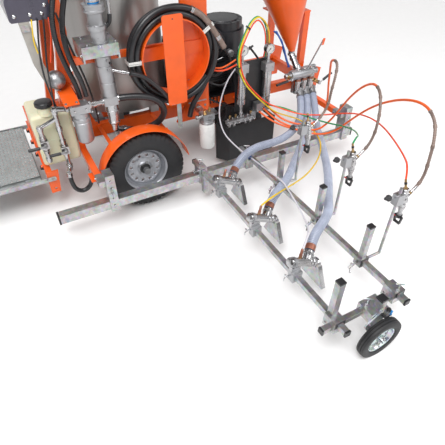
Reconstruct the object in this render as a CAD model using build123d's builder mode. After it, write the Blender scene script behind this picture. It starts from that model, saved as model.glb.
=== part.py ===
from build123d import *
import math
import os

os.makedirs("parts", exist_ok=True)

# Ride-on line striping machine. Millimetres, X forward, Y left, Z up, ground at z = 0.
# The outrigger with the guns stands on the right side, at negative Y.

# ---------------------------------------------------------------- driving dimensions
CENTRE_Y = 845.0            # machine's middle plane
GAP = 0.3                   # running clearance of moving pieces
FIT = 0.05                  # radial clearance of pins in their holes

SILL_Y = 250.0              # side members, from the middle plane
SILL_W = 50.0
SILL_LOW = 430.0
SILL_TOP = 510.0
FRAME_REAR = -870.0
FRAME_FRONT = 1330.0

REAR_AXLE_X = -261.0
REAR_R = 274.0              # 155/80 R12 tyre
REAR_W = 150.0
REAR_OFF = 560.0            # wheel middle, from the middle plane
FRONT_AXLE_X = 695.0
FRONT_R = 200.0             # 4.00-8 tyre
FRONT_W = 100.0
FRONT_OFF = 230.0

RAIL_REAR = -903.0
RAIL_FRONT = 1438.0
RAIL_Y = 75.0               # rail's outer face
RAIL_W = 60.0
RAIL_LOW = 170.0
RAIL_TOP = 230.0

BAR = 30.0                  # square gun bars
BAR_Z = 255.0
BAR_A_X = 87.0
BAR_B_X = 465.0
BAR_IN = 212.0
BAR_OUT = -1418.0
CROSS_Y = -1334.0
CROSS_Z = BAR_Z - BAR
TUBE_WALL = 3.0

BEAD_GUN_Y = (-185.0, -605.0, -1000.0)
PAINT_GUN_Y = (-305.0, -710.0, -1090.0)
ROD_X = 600.0               # upright rods of the paint guns

CASTOR_POST_X = 325.0
CASTOR_POST_Y = -1372.0
CASTOR_POST = 40.0
CASTOR_X = 291.0
CASTOR_Y = -1451.0
CASTOR_R = 125.0
CASTOR_W = 50.0

TANK_X = -170.0             # paint tank
TANK_Y = 870.0
TANK_R = 320.0
TANK_LOW = 560.0
TANK_TOP = 1380.0


def write(part, name):
    part.label = name
    export_step(part, "parts/" + name + ".step")


def block(x0, x1, y0, y1, z0, z1, mode=Mode.ADD):
    """A box between two corners."""
    with Locations(((x0 + x1) / 2, (y0 + y1) / 2, (z0 + z1) / 2)):
        Box(x1 - x0, y1 - y0, z1 - z0, mode=mode)


def rod(start, end, radius, mode=Mode.ADD):
    """A round bar from one point to another."""
    axis = Vector(*end) - Vector(*start)
    with BuildSketch(Plane(origin=start, z_dir=axis)) as profile:
        Circle(radius)
    extrude(profile.sketch, amount=axis.length, mode=mode)


def pipe(start, end, outer, inner):
    """A round tube from one point to another."""
    axis = Vector(*end) - Vector(*start)
    with BuildSketch(Plane(origin=start, z_dir=axis)) as profile:
        Circle(outer)
        Circle(inner, mode=Mode.SUBTRACT)
    extrude(profile.sketch, amount=axis.length)


def sheet_xz(points, y0, y1, mode=Mode.ADD):
    """A plate with an outline in X and Z, between two Y faces."""
    with BuildSketch(Plane.XZ.offset(-y1)) as profile:
        with BuildLine():
            Polyline(*points, close=True)
        make_face()
    extrude(profile.sketch, amount=y1 - y0, mode=mode)


def sheet_yz(points, x0, x1, mode=Mode.ADD):
    """A plate with an outline in Y and Z, between two X faces."""
    with BuildSketch(Plane.YZ.offset(x0)) as profile:
        with BuildLine():
            Polyline(*points, close=True)
        make_face()
    extrude(profile.sketch, amount=x1 - x0, mode=mode)


def sheet_xy(points, z0, z1, mode=Mode.ADD):
    """A plate with an outline in X and Y, between two Z faces."""
    with BuildSketch(Plane.XY.offset(z0)) as profile:
        with BuildLine():
            Polyline(*points, close=True)
        make_face()
    extrude(profile.sketch, amount=z1 - z0, mode=mode)


def mirrored(offset):
    """The two Y places at one distance from the middle plane."""
    return (CENTRE_Y - offset, CENTRE_Y + offset)


# ---------------------------------------------------------------- chassis
AXLE_Z = REAR_R
REAR_STUB_R = 22.0
FRONT_STUB_R = 15.0
CASTOR_PIN_R = 10.0
BEAM_LOW = 290.0            # rear beam that carries the platform
BEAM_TOP = 330.0
PIVOT_X = -845.0            # platform pivot
PIVOT_Z = 276.0
PIVOT_R = 8.0
TIE_Z = 195.0               # tie-down holes in the side plates, for M16
TIE_R = 8.2
POST_X0, POST_X1 = 135.0, 310.0
POST_Y0, POST_Y1 = 404.0, 430.0
DRUM_X, DRUM_Z = 55.0, 955.0
DRUM_R = 225.0
DRUM_FRONT = 316.0
PUMP_X, PUMP_Y = -390.0, 355.0
ARM_REAR_X = -598.0
ARM_FRONT_X = 1308.0

with BuildPart() as chassis_frame:
    for y in mirrored(SILL_Y):
        block(FRAME_REAR, FRAME_FRONT, y - SILL_W / 2, y + SILL_W / 2, SILL_LOW, SILL_TOP)
        block(-870, -830, y - SILL_W / 2, y + SILL_W / 2, BEAM_TOP, SILL_LOW)
    # cross members, full height of the side members
    for x in (-850.0, -480.0, 60.0, 480.0, 880.0, 1310.0):
        block(x - 20, x + 20, CENTRE_Y - SILL_Y, CENTRE_Y + SILL_Y, SILL_LOW, SILL_TOP)
    block(FRONT_AXLE_X - 70, FRONT_AXLE_X + 70, CENTRE_Y - SILL_Y, CENTRE_Y + SILL_Y, 490, SILL_TOP)
    # rear beam with its side plates and lower tabs
    block(-880, -840, 450, 1240, BEAM_LOW, BEAM_TOP)
    for y0, y1 in ((440.0, 450.0), (1240.0, 1250.0)):
        sheet_xz([(-880, 165), (-820, 165), (-800, 330), (-880, 330)], y0, y1)
        with Locations(Plane.XZ.offset(-y1)):
            with Locations((PIVOT_X, PIVOT_Z)):
                Cylinder(PIVOT_R + FIT, 20, mode=Mode.SUBTRACT)
            with Locations((PIVOT_X, TIE_Z)):
                Cylinder(TIE_R, 20, mode=Mode.SUBTRACT)
    # buffer stubs behind the platform
    for y in (560.0, 750.0, 940.0, 1130.0):
        rod((-880, y, 310), (-892, y, 310), 13)
    # rear axle saddles
    for y in mirrored(SILL_Y):
        sheet_yz(
            [(y - 25, AXLE_Z + 30), (y + 25, AXLE_Z + 30), (y + 25, SILL_LOW), (y - 25, SILL_LOW)],
            REAR_AXLE_X - 50,
            REAR_AXLE_X + 50,
        )
    # arms that carry the rail, square tube stepping out and down from the side member
    for x in (ARM_REAR_X, ARM_FRONT_X):
        block(x - 20, x + 20, 175, CENTRE_Y - SILL_Y - SILL_W / 2, 352, 392)
        block(x - 20, x + 20, CENTRE_Y - SILL_Y - 75, CENTRE_Y - SILL_Y - 25, 392, SILL_TOP)
    # hose stub under the rear arm
    rod((-604, 360, 360), (-604, 360, 300), 13)
    # wide post with a foot gusset, on the right side
    block(POST_X0, POST_X1, POST_Y0, POST_Y1, 520, 1320)
    sheet_xz([(60, 470), (310, 470), (310, 700), (210, 700)], POST_Y0, POST_Y1)
    block(150, 290, POST_Y1, CENTRE_Y - SILL_Y - SILL_W / 2, 470, 500)
    # slanted posts from the frame to the console
    for y in (570, 1080):
        sheet_xz(
            [
                (-700, 510),
                (-640, 510),
                (-560, 840),
                (-520, 1130),
                (-520, 1400),
                (-590, 1400),
                (-590, 1130),
                (-640, 840),
            ],
            y,
            y + 40,
        )
    block(-590, -520, 610, 1080, 1350, 1390)
    # horizontal bar that carries the pump and the drum
    block(-520, POST_X0, 410, 430, 985, 1025)
    block(-560, -520, 410, 610, 985, 1025)
    # front stand of the hopper
    for y in (600.0, 1050.0):
        block(1235, 1285, y, y + 40, SILL_TOP, 1000)
    block(1235, 1285, 600, 1090, 960, 1000)
    # front corner plates
    for y0, y1 in ((560.0, 570.0), (1120.0, 1130.0)):
        sheet_xz([(1250, 320), (1400, 320), (1440, 560), (1330, 600), (1250, 600)], y0, y1)
write(chassis_frame.part, "chassis_frame")

with BuildPart() as rear_axle:
    rod((REAR_AXLE_X, CENTRE_Y - 480, AXLE_Z), (REAR_AXLE_X, CENTRE_Y + 480, AXLE_Z), 30)
    for side in (-1, 1):
        rod(
            (REAR_AXLE_X, CENTRE_Y + side * 479, AXLE_Z),
            (REAR_AXLE_X, CENTRE_Y + side * 630, AXLE_Z),
            REAR_STUB_R,
        )
write(rear_axle.part, "rear_axle")

# mudguards, curved plates over the outer part of the rear tyres, on straps to the side members
GUARD_R = REAR_R + 32
with BuildPart() as mudguards:
    for side in (-1, 1):
        inner = CENTRE_Y + side * 545
        outer = CENTRE_Y + side * 652
        low, high = min(inner, outer), max(inner, outer)
        with BuildSketch(Plane.XZ.offset(-high)):
            with Locations((REAR_AXLE_X, AXLE_Z)):
                Circle(GUARD_R + 4)
                Circle(GUARD_R, mode=Mode.SUBTRACT)
            with BuildLine():
                Polyline((-700, -100), (400, -100), (400, 330), (-700, 330), close=True)
            make_face(mode=Mode.SUBTRACT)
        extrude(amount=high - low)
        # flat tail that runs on to the rail arm
        block(-640, REAR_AXLE_X - 303, low, high, 326, 332)
        # straps over the tyre to the outer face of the side member
        strap = sorted((CENTRE_Y + side * 551, CENTRE_Y + side * (SILL_Y + SILL_W / 2)))
        tab = sorted((CENTRE_Y + side * 551, CENTRE_Y + side * 545))
        for x in (REAR_AXLE_X - 190, REAR_AXLE_X + 190):
            block(x - 12, x + 12, strap[0], strap[1], 492, 502)
            block(x - 12, x + 12, tab[0], tab[1], 492, 518)
write(mudguards.part, "mudguards")

# ---------------------------------------------------------------- road wheels


def road_wheel(radius, width, rim, hub, outward):
    """A tyre and a pressed rim, with the dish on the outward side."""
    half = width / 2
    bead = half * 0.62
    with BuildSketch(Plane.XY) as tyre:
        with BuildLine():
            Polyline(
                (rim, -bead),
                (rim + 0.35 * (radius - rim), -half),
                (radius - 18, -half * 0.93),
                (radius, -half * 0.72),
                (radius, half * 0.72),
                (radius - 18, half * 0.93),
                (rim + 0.35 * (radius - rim), half),
                (rim, bead),
                close=True,
            )
        make_face()
    revolve(tyre.sketch, axis=Axis.Y, revolution_arc=360)
    with BuildSketch(Plane.XY) as disc:
        with BuildLine():
            Polyline(
                (hub, 10 * outward),
                (hub + 14, 10 * outward),
                (rim - 34, -8 * outward),
                (rim - 8, -8 * outward),
                (rim - 8, -bead * outward),
                (rim - 0.2, -bead * outward),
                (rim - 0.2, bead * outward),
                (rim - 8, bead * outward),
                (rim - 8, 0),
                (rim - 34, 0),
                (hub + 14, 18 * outward),
                (hub, 18 * outward),
                close=True,
            )
        make_face()
    revolve(disc.sketch, axis=Axis.Y, revolution_arc=360)


def make_wheel(x, y, z, radius, width, rim, hub, outward, hole_ring, hole_r, holes):
    with BuildPart() as wheel:
        road_wheel(radius, width, rim, hub, outward)
        for k in range(holes):
            angle = 2 * math.pi * (k + 0.5) / holes
            cx, cz = hole_ring * math.cos(angle), hole_ring * math.sin(angle)
            rod((cx, -40, cz), (cx, 40, cz), hole_r, mode=Mode.SUBTRACT)
    return Pos(x, y, z) * wheel.part


REAR_RIM = 152.0
FRONT_RIM = 105.0
CASTOR_RIM = 80.0
for name, side in (("near", -1), ("far", 1)):
    y = CENTRE_Y + side * REAR_OFF
    wheel = make_wheel(REAR_AXLE_X, y, AXLE_Z, REAR_R, REAR_W, REAR_RIM, REAR_STUB_R + FIT, side, 98, 11, 12)
    write(wheel, "rear_wheel_" + name)
    y = CENTRE_Y + side * FRONT_OFF
    hub = FRONT_STUB_R + FIT
    wheel = make_wheel(FRONT_AXLE_X, y, FRONT_R, FRONT_R, FRONT_W, FRONT_RIM, hub, side, 62, 8, 6)
    write(wheel, "front_wheel_" + name)

# swivelling front axle with its king pin
with BuildPart() as steering_axle:
    rod(
        (FRONT_AXLE_X, CENTRE_Y - 290, FRONT_R),
        (FRONT_AXLE_X, CENTRE_Y + 290, FRONT_R),
        FRONT_STUB_R,
    )
    block(FRONT_AXLE_X - 28, FRONT_AXLE_X + 28, CENTRE_Y - 170, CENTRE_Y + 170, FRONT_R - 28, FRONT_R + 28)
    block(FRONT_AXLE_X - 60, FRONT_AXLE_X + 60, CENTRE_Y - 60, CENTRE_Y + 60, FRONT_R + 28, 425)
    rod((FRONT_AXLE_X, CENTRE_Y, 425), (FRONT_AXLE_X, CENTRE_Y, 489.5), 90)
write(steering_axle.part, "steering_axle")

# ---------------------------------------------------------------- platform and rear end
PLATFORM_REAR = -1455.0
PLATFORM_FRONT = -915.0
PLATFORM_Y0, PLATFORM_Y1 = 470.0, 1220.0
with BuildPart() as platform:
    block(PLATFORM_REAR, PLATFORM_FRONT, PLATFORM_Y0, PLATFORM_Y1, 294, 300)
    for y in (PLATFORM_Y0, PLATFORM_Y1 - 30):
        block(PLATFORM_REAR, PLATFORM_FRONT, y, y + 30, 254, 294)
    for x in (PLATFORM_REAR, PLATFORM_FRONT - 30, (PLATFORM_REAR + PLATFORM_FRONT) / 2):
        block(x, x + 30, PLATFORM_Y0 + 30, PLATFORM_Y1 - 30, 264, 294)
    # arms outside the side plates, each on a pivot bolt
    for y0, y1, inward in ((430.0, 439.7, 1), (1250.3, 1260.0, -1)):
        sheet_xz([(-1250, 262), (-870, 262), (-828, 262), (-828, 292), (-1250, 292)], y0, y1)
        for x in (-1200.0, -1000.0):
            spacer = sorted((y1 if inward > 0 else y0, PLATFORM_Y0 if inward > 0 else PLATFORM_Y1))
            block(x - 15, x + 15, spacer[0], spacer[1], 264, 290)
        bolt_end = y1 + 16 if inward > 0 else y0 - 16
        rod((PIVOT_X, (y0 + y1) / 2, PIVOT_Z), (PIVOT_X, bolt_end, PIVOT_Z), PIVOT_R)
write(platform.part, "platform")

with BuildPart() as solvent_tank:
    block(-870, -622, 480, 566, 345, 700)
    block(-870, -705, 566, 760, 514, 700)
    rod((-764, 523, 700), (-764, 523, 745), 42)
    rod((-764, 523, 745), (-764, 523, 775), 52)
write(solvent_tank.part, "solvent_tank")

LEVER_Y = 398.0             # outer face of the valve bodies
STEM_R = 6.0                # valve stems that the levers sit on
SUCTION_VALVES = ((-722.0, 471.0), (-831.0, 540.0))
with BuildPart() as suction_pipes:
    rod((-722, 430, 317), (-722, 430, 750), 15)
    rod((-722, 430, 750), (-660, 362, 765), 15)
    rod((-665, 362, 765), (-646, 362, 765), 15)
    rod((-831, 430, 410), (-831, 430, 649), 15)
    rod((-831, 430, 649), (-722, 430, 690), 13)
    rod((-722, 430, 330), (-744, 372, 330), 15)
    rod((-744, 372, 336), (-744, 372, 300), 15)
    for x, z in SUCTION_VALVES:
        block(x - 24, x + 24, 406, 454, z - 26, z + 26)
        rod((x, 406, z), (x, LEVER_Y, z), 12)
        rod((x, LEVER_Y, z), (x, LEVER_Y - 16, z), STEM_R)
        block(x - 10, x + 10, 440, 480, z + 40, z + 60)
write(suction_pipes.part, "suction_pipes")

for number, (x, z) in enumerate(SUCTION_VALVES, 1):
    with BuildPart() as suction_lever:
        rod((x, LEVER_Y - GAP, z), (x, LEVER_Y - 15, z), 13)
        block(x - 96, x, LEVER_Y - 12, LEVER_Y - 5, z - 9, z + 9)
        rod((x, LEVER_Y, z), (x, LEVER_Y - 16, z), STEM_R + FIT, mode=Mode.SUBTRACT)
    write(suction_lever.part, "suction_lever_" + str(number))

# ---------------------------------------------------------------- console and steering
COLUMN = Vector(-0.6, 0, 0.8)
COLUMN_FOOT = Vector(-760, CENTRE_Y, 1385)
COLUMN_TOP = COLUMN_FOOT + COLUMN * 110
SHAFT_R = 10.0
with BuildPart() as console:
    sheet_xz([(-590, 1230), (-590, 1400), (-770, 1400), (-810, 1330), (-810, 1230)], 480, 1120)
    block(-768, -714, 480, 530, 861, 1230)
    rod(COLUMN_FOOT, COLUMN_TOP, 26)
    rod(COLUMN_TOP, COLUMN_TOP - COLUMN * 60, SHAFT_R + FIT, mode=Mode.SUBTRACT)
write(console.part, "console")

WHEEL_R = 170.0
RIM_CENTRE = COLUMN_TOP + COLUMN * 50
with BuildPart() as steering_wheel:
    rod(COLUMN_TOP - COLUMN * 55, COLUMN_TOP + COLUMN * 30, SHAFT_R)
    rod(COLUMN_TOP + COLUMN * GAP, COLUMN_TOP + COLUMN * 45, 32)
    with Locations(Plane(origin=RIM_CENTRE, z_dir=COLUMN)):
        Torus(WHEEL_R, 14)
    for k in range(3):
        angle = 2 * math.pi * k / 3
        across = Vector(0, 1, 0) * math.cos(angle) + Vector(0.8, 0, 0.6) * math.sin(angle)
        rod(COLUMN_TOP + COLUMN * 32 + across * 10, RIM_CENTRE + across * WHEEL_R, 8)
write(steering_wheel.part, "steering_wheel")

with BuildPart() as accumulator:
    with Locations((-655, 505, 890)):
        Sphere(55)
    rod((-655, 505, 826), (-655, 505, 845), 16)
    # arm over the filter head, to the slanted post
    block(-670, -578, 330, 570, 790, 826)
write(accumulator.part, "accumulator")

# ---------------------------------------------------------------- paint tank
LID_PIN_R = 6.0
with BuildPart() as paint_tank:
    rod((TANK_X, TANK_Y, TANK_LOW), (TANK_X, TANK_Y, TANK_TOP), TANK_R)
    rod((TANK_X, TANK_Y, TANK_LOW + 5), (TANK_X, TANK_Y, TANK_TOP), TANK_R - 4, mode=Mode.SUBTRACT)
    for x in (TANK_X - 130, TANK_X + 130):
        for y in mirrored(SILL_Y):
            block(x - 30, x + 30, y - 22, y + 22, SILL_TOP, TANK_LOW)
    for x in (TANK_X - 70, TANK_X + 70):
        block(x - 10, x + 10, TANK_Y + TANK_R - 20, TANK_Y + TANK_R + 30, TANK_TOP - 50, TANK_TOP - 2)
        block(x - 10, x + 10, TANK_Y + TANK_R + 2, TANK_Y + TANK_R + 30, TANK_TOP - 2, TANK_TOP + 22)
        rod(
            (x - 15, TANK_Y + TANK_R + 16, TANK_TOP + 10),
            (x + 15, TANK_Y + TANK_R + 16, TANK_TOP + 10),
            LID_PIN_R + FIT,
            mode=Mode.SUBTRACT,
        )
write(paint_tank.part, "paint_tank")

LID_HINGE_Y = TANK_Y + TANK_R + 16
LID_HINGE_Z = TANK_TOP + 10
with BuildPart() as tank_lid:
    rod((TANK_X, TANK_Y, TANK_TOP + GAP), (TANK_X, TANK_Y, TANK_TOP + 8), TANK_R - 2)
    rod((TANK_X, TANK_Y, TANK_TOP + 8), (TANK_X, TANK_Y, TANK_TOP + 26), 120)
    block(TANK_X - 50, TANK_X + 50, TANK_Y + TANK_R - 30, LID_HINGE_Y, TANK_TOP + 4, TANK_TOP + 16)
    rod((TANK_X - 82, LID_HINGE_Y, LID_HINGE_Z), (TANK_X + 82, LID_HINGE_Y, LID_HINGE_Z), LID_PIN_R)
    # handle
    for x in (TANK_X - 50, TANK_X + 50):
        rod((x, TANK_Y - 220, TANK_TOP + 8), (x, TANK_Y - 220, TANK_TOP + 45), 6)
    rod((TANK_X - 50, TANK_Y - 220, TANK_TOP + 45), (TANK_X + 50, TANK_Y - 220, TANK_TOP + 45), 6)
write(tank_lid.part, "tank_lid")

# ---------------------------------------------------------------- engine and tank of oil
with BuildPart() as engine_block:
    block(330, 730, 575, 1115, SILL_TOP, 524)
    block(390, 700, 640, 1000, 524, 760)
    for side in (-1, 1):
        tilt = Vector(0, side * 0.64, 0.77)
        foot = Vector(470, 820, 700)
        rod(foot, foot + tilt * 250, 70)
        for k in range(8):
            rod(foot + tilt * (70 + 21 * k), foot + tilt * (78 + 21 * k), 98)
        rod(foot + tilt * 240, foot + tilt * 285, 88)
    block(360, 560, 760, 880, 760, 980)
    rod((640, 820, 760), (640, 820, 930), 165)
    rod((640, 820, 930), (640, 820, 990), 150)
    block(380, 560, 560, 640, 640, 740)
write(engine_block.part, "engine_block")

with BuildPart() as exhaust_muffler:
    rod((400, 1075, 640), (700, 1075, 640), 62)
    block(430, 460, 1050, 1100, 524, 590)
    block(640, 670, 1050, 1100, 524, 590)
    rod((700, 1075, 655), (780, 1075, 655), 20)
write(exhaust_muffler.part, "exhaust_muffler")

with BuildPart() as hydraulic_tank:
    block(166, 296, 600, 1090, SILL_TOP, 830)
    rod((230, 1000, 830), (230, 1000, 860), 36)
    rod((230, 720, 830), (230, 720, 850), 22)
write(hydraulic_tank.part, "hydraulic_tank")

# ---------------------------------------------------------------- pump
with BuildPart() as pump_bracket:
    block(-510, -300, 296, 500, 1100, 1112)
    for x in (-510.0, -310.0):
        block(x, x + 10, 296, 500, 1025, 1100)
    block(-500, -310, 490, 500, 1040, 1100)
    block(-500, -310, 296, 304, 1046, 1100)
    rod((PUMP_X, PUMP_Y, 1095), (PUMP_X, PUMP_Y, 1115), 20.1, mode=Mode.SUBTRACT)
write(pump_bracket.part, "pump_bracket")

with BuildPart() as pump_motor:
    rod((PUMP_X, PUMP_Y, 1112), (PUMP_X, PUMP_Y, 1180), 46)
    rod((PUMP_X, PUMP_Y, 1180), (PUMP_X, PUMP_Y, 1205), 50)
    rod((PUMP_X, PUMP_Y, 1205), (PUMP_X, PUMP_Y, 1270), 44)
    rod((PUMP_X, PUMP_Y, 1270), (PUMP_X, PUMP_Y, 1310), 58)
    rod((PUMP_X, PUMP_Y, 1310), (PUMP_X, PUMP_Y, 1440), 34)
    rod((PUMP_X, PUMP_Y, 1440), (PUMP_X, PUMP_Y, 1470), 42)
    rod((PUMP_X + 30, PUMP_Y, 1345), (PUMP_X + 75, PUMP_Y, 1345), 12)
    for dx, dy in ((-80, -40), (80, -40), (-80, 110), (80, 110)):
        rod((PUMP_X + dx, PUMP_Y + dy, 1112), (PUMP_X + dx, PUMP_Y + dy, 1124), 9)
write(pump_motor.part, "pump_motor")

with BuildPart() as pump_lower:
    rod((PUMP_X, PUMP_Y, 1100), (PUMP_X, PUMP_Y, 1025), 20)
    rod((PUMP_X, PUMP_Y, 1040), (PUMP_X, PUMP_Y, 800), 47)
    rod((PUMP_X, PUMP_Y, 800), (PUMP_X, PUMP_Y, 700), 43)
    block(PUMP_X - 48, PUMP_X + 38, PUMP_Y - 44, PUMP_Y + 36, 745, 800)
    rod((PUMP_X, PUMP_Y, 745), (PUMP_X, PUMP_Y, 610), 37)
    # foot elbow
    rod((PUMP_X, PUMP_Y, 610), (PUMP_X, PUMP_Y, 570), 22)
    with Locations((PUMP_X, PUMP_Y, 570)):
        Sphere(22)
    rod((PUMP_X, PUMP_Y, 570), (-290, 392, 520), 19)
    # outlet tube and the link to the filter head
    rod((PUMP_X + 35, PUMP_Y - 10, 950), (-262, 306, 925), 10)
    rod((PUMP_X - 40, 352, 765), (-520, 352, 765), 17)
write(pump_lower.part, "pump_lower")

with BuildPart() as paint_filter:
    block(-646, -526, 305, 395, 735, 790)
    rod((-586, 350, 690), (-586, 350, 735), 46)
    rod((-586, 350, 540), (-586, 350, 700), 52)
    rod((-586, 350, 525), (-586, 350, 540), 44)
    rod((-526, 352, 765), (-520, 352, 765), 22)
write(paint_filter.part, "paint_filter")

# ---------------------------------------------------------------- hose drum
COIL_IN, COIL_OUT = DRUM_R + 3.5, DRUM_R + 79.5
COIL_Y0, COIL_Y1 = 328.0, 403.7
with BuildPart() as drum_ring:
    pipe((DRUM_X, DRUM_FRONT, DRUM_Z), (DRUM_X, POST_Y0, DRUM_Z), DRUM_R, DRUM_R - 6)
    block(DRUM_X - 215, DRUM_X + 215, POST_Y0 - 8, POST_Y0, DRUM_Z - 20, DRUM_Z + 60)
write(drum_ring.part, "drum_ring")

with BuildPart() as drum_cover:
    block(-42, 89, 272, 278, 680, 1220)
    block(10, 40, 278, DRUM_FRONT, 728, 742)
    block(10, 40, 278, DRUM_FRONT, 1168, 1182)
    block(15, 45, 278, 284, 500, 690)
    # hose fitting behind the cover
    rod((-25, 296, 712), (-7, 296, 688), 14)
    block(-20, 6, 278, 300, 676, 700)
write(drum_cover.part, "drum_cover")

# ---------------------------------------------------------------- filters, gauges and manifold
with BuildPart() as oil_filter:
    rod((210, 240, 329), (210, 240, 518), 54)
    rod((210, 240, 518), (210, 240, 545), 46)
    block(165, 255, 200, 280, 545, 590)
    rod((165, 240, 568), (130, 240, 568), 14)
    block(190, 230, 280, POST_Y0, 545, 580)
write(oil_filter.part, "oil_filter")

GAUGE_FILTERS = ((560.0, 516.0, 811.0, 903.0), (774.0, 495.0, 786.0, 882.0))
with BuildPart() as gauge_filters:
    for x, low, high, gauge in GAUGE_FILTERS:
        rod((x, 375, low), (x, 375, high), 33)
        block(x - 38, x + 38, 342, 408, high - 60, high)
        rod((x, 375, high), (x, 375, gauge - 20), 10)
        rod((x, 390, gauge), (x, 358, gauge), 34)
        block(x - 25, x + 25, 400, 412, high - 50, high - 10)
    block(530, 805, 412, 420, 440, 805)
    block(600, 700, 420, CENTRE_Y - SILL_Y - SILL_W / 2, 470, 482)
    # outlet block of the paint hoses
    block(680, 800, 345, 405, 425, 495)
    rod((545, 375, 800), (516, 376, 790), 8)
write(gauge_filters.part, "gauge_filters")

with BuildPart() as manifold:
    block(430, 680, 345, 385, 378, 408)
    rod((560, 375, 408), (560, 375, 516), 10)
    block(640, 680, 350, 380, 408, 440)
    for x in (460.0, 500.0, 600.0, 640.0):
        rod((x, 365, 378), (x, 365, 355), 9)
    for x in (470.0, 520.0, 610.0):
        rod((x, 345, 393), (x, 325, 393), 8)
write(manifold.part, "manifold")

with BuildPart() as splash_flap:
    block(465, 875, 372, 376, 40, 350)
    sheet_xy([(465, 372), (465, 376), (401, 476), (398, 472)], 40, 350)
    block(465, 875, 376, 388, 335, 347)
    for x in (500.0, 830.0):
        block(x, x + 30, 376, 500, 345, 357)
        block(x, x + 30, 488, 500, 345, 455)
        block(x, x + 30, 488, CENTRE_Y - SILL_Y - SILL_W / 2, 440, 455)
write(splash_flap.part, "splash_flap")

# ---------------------------------------------------------------- bead hopper
HOPPER_FOOT = Vector(1120, 565, 750)
HOPPER_SHOULDER = Vector(1075, 700, 1200)
HOPPER_R = 205.0
with BuildPart() as bead_hopper:
    for inset, mode in ((0.0, Mode.ADD), (4.0, Mode.SUBTRACT)):
        with BuildSketch(Plane(origin=HOPPER_FOOT)) as outlet:
            Circle(26 - inset)
        with BuildSketch(Plane(origin=HOPPER_SHOULDER)) as shoulder:
            Circle(HOPPER_R - inset)
        loft([outlet.sketch.faces()[0], shoulder.sketch.faces()[0]], mode=mode)
        rod(HOPPER_SHOULDER, HOPPER_SHOULDER + Vector(0, 0, 180), HOPPER_R - inset, mode=mode)
    # saddle plate on the stand
    with BuildSketch(Plane.XY.offset(1000)) as saddle:
        with Locations((1150, 720)):
            Rectangle(280, 240)
        with Locations((1095, 640)):
            Circle(122, mode=Mode.SUBTRACT)
    extrude(saddle.sketch, amount=10)
    for x in (HOPPER_SHOULDER.X - 60, HOPPER_SHOULDER.X + 60):
        block(x - 10, x + 10, 880, 932, 1340, 1378)
        block(x - 10, x + 10, 908, 932, 1378, 1404)
        rod((x - 15, 920, 1392), (x + 15, 920, 1392), 5.05, mode=Mode.SUBTRACT)
write(bead_hopper.part, "bead_hopper")

with BuildPart() as hopper_lid:
    foot = Vector(HOPPER_SHOULDER.X, HOPPER_SHOULDER.Y, 1380 + GAP)
    rod(foot, foot + Vector(0, 0, 8), HOPPER_R - 3)
    rod(foot + Vector(0, 0, 8), foot + Vector(0, 0, 30), 30)
    block(HOPPER_SHOULDER.X - 45, HOPPER_SHOULDER.X + 45, 880, 920, 1384, 1394)
    rod((HOPPER_SHOULDER.X - 72, 920, 1392), (HOPPER_SHOULDER.X + 72, 920, 1392), 5)
write(hopper_lid.part, "hopper_lid")

# valve block under the hopper: one inlet, three bead outlets
OUTLETS = ((1130.0, 400.0, 428.0), (1193.0, 400.0, 428.0), (1256.0, 400.0, 428.0))
OUTLET_BACK = Vector(0.42, 0.80, 0.42)
HOPPER_VALVES = ((1020.0, 600.0), (1300.0, 520.0))
with BuildPart() as hopper_valve_block:
    rod((1120, 565, 750), (1120, 565, 715), 26)
    rod((1120, 565, 728), (1130, 470, 620), 24)
    block(1060, 1310, 425, 500, 560, 640)
    block(1100, 1310, 425, 500, 440, 560)
    rod((1060, 455, 600), (1000, 455, 600), 22)
    for x, y, z in OUTLETS:
        rod((x, y, z), Vector(x, y, z) + OUTLET_BACK * 70, 27)
    for x, z in HOPPER_VALVES:
        rod((x, 470, z), (x, 400, z), 14)
        rod((x, 400, z), (x, 384, z), STEM_R)
    # linkage rod up to the controls, and the bracket to the side member
    rod((1197, 440, 630), (1316, 440, 835), 8)
    block(1150, 1200, 500, CENTRE_Y - SILL_Y - SILL_W / 2, 470, 500)
write(hopper_valve_block.part, "hopper_valve_block")

for number, ((x, z), reach) in enumerate(zip(HOPPER_VALVES, ((-140.0, -18.0), (110.0, 60.0))), 1):
    with BuildPart() as hopper_lever:
        rod((x, 400 - GAP, z), (x, 385, z), 13)
        pivot = Vector(x, 391, z)
        arm = Vector(reach[0], 0, reach[1])
        rod(pivot + arm * (9.5 / arm.length), pivot + arm * 0.62, 5)
        rod(pivot + arm * 0.6, pivot + arm, 9)
        rod((x, 400, z), (x, 380, z), STEM_R + FIT, mode=Mode.SUBTRACT)
    write(hopper_lever.part, "hopper_lever_" + str(number))

# ---------------------------------------------------------------- outrigger
with BuildPart() as side_rail:
    block(RAIL_REAR, RAIL_FRONT, RAIL_Y, RAIL_Y + RAIL_W, RAIL_LOW, RAIL_TOP)
    block(
        RAIL_REAR + 20,
        RAIL_FRONT - 20,
        RAIL_Y + TUBE_WALL,
        RAIL_Y + RAIL_W - TUBE_WALL,
        RAIL_LOW + TUBE_WALL,
        RAIL_TOP - TUBE_WALL,
        mode=Mode.SUBTRACT,
    )
write(side_rail.part, "side_rail")

with BuildPart() as rail_mounts:
    for x in (ARM_REAR_X, ARM_FRONT_X):
        block(x - 20, x + 20, 145, 175, 352, 392)
        block(x - 20, x + 76, RAIL_Y, 145, 352, 392)
        block(x + 20, x + 76, RAIL_Y - 14, RAIL_Y + RAIL_W + 14, RAIL_LOW - 12, 430)
        block(x + 20, x + 76, RAIL_Y, RAIL_Y + RAIL_W, RAIL_LOW, RAIL_TOP, mode=Mode.SUBTRACT)
        rod((x + 48, RAIL_Y - 14, 300), (x + 48, RAIL_Y - 44, 300), 6)
        rod((x + 48, RAIL_Y - 44, 276), (x + 48, RAIL_Y - 44, 324), 5)
write(rail_mounts.part, "rail_mounts")


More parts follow.
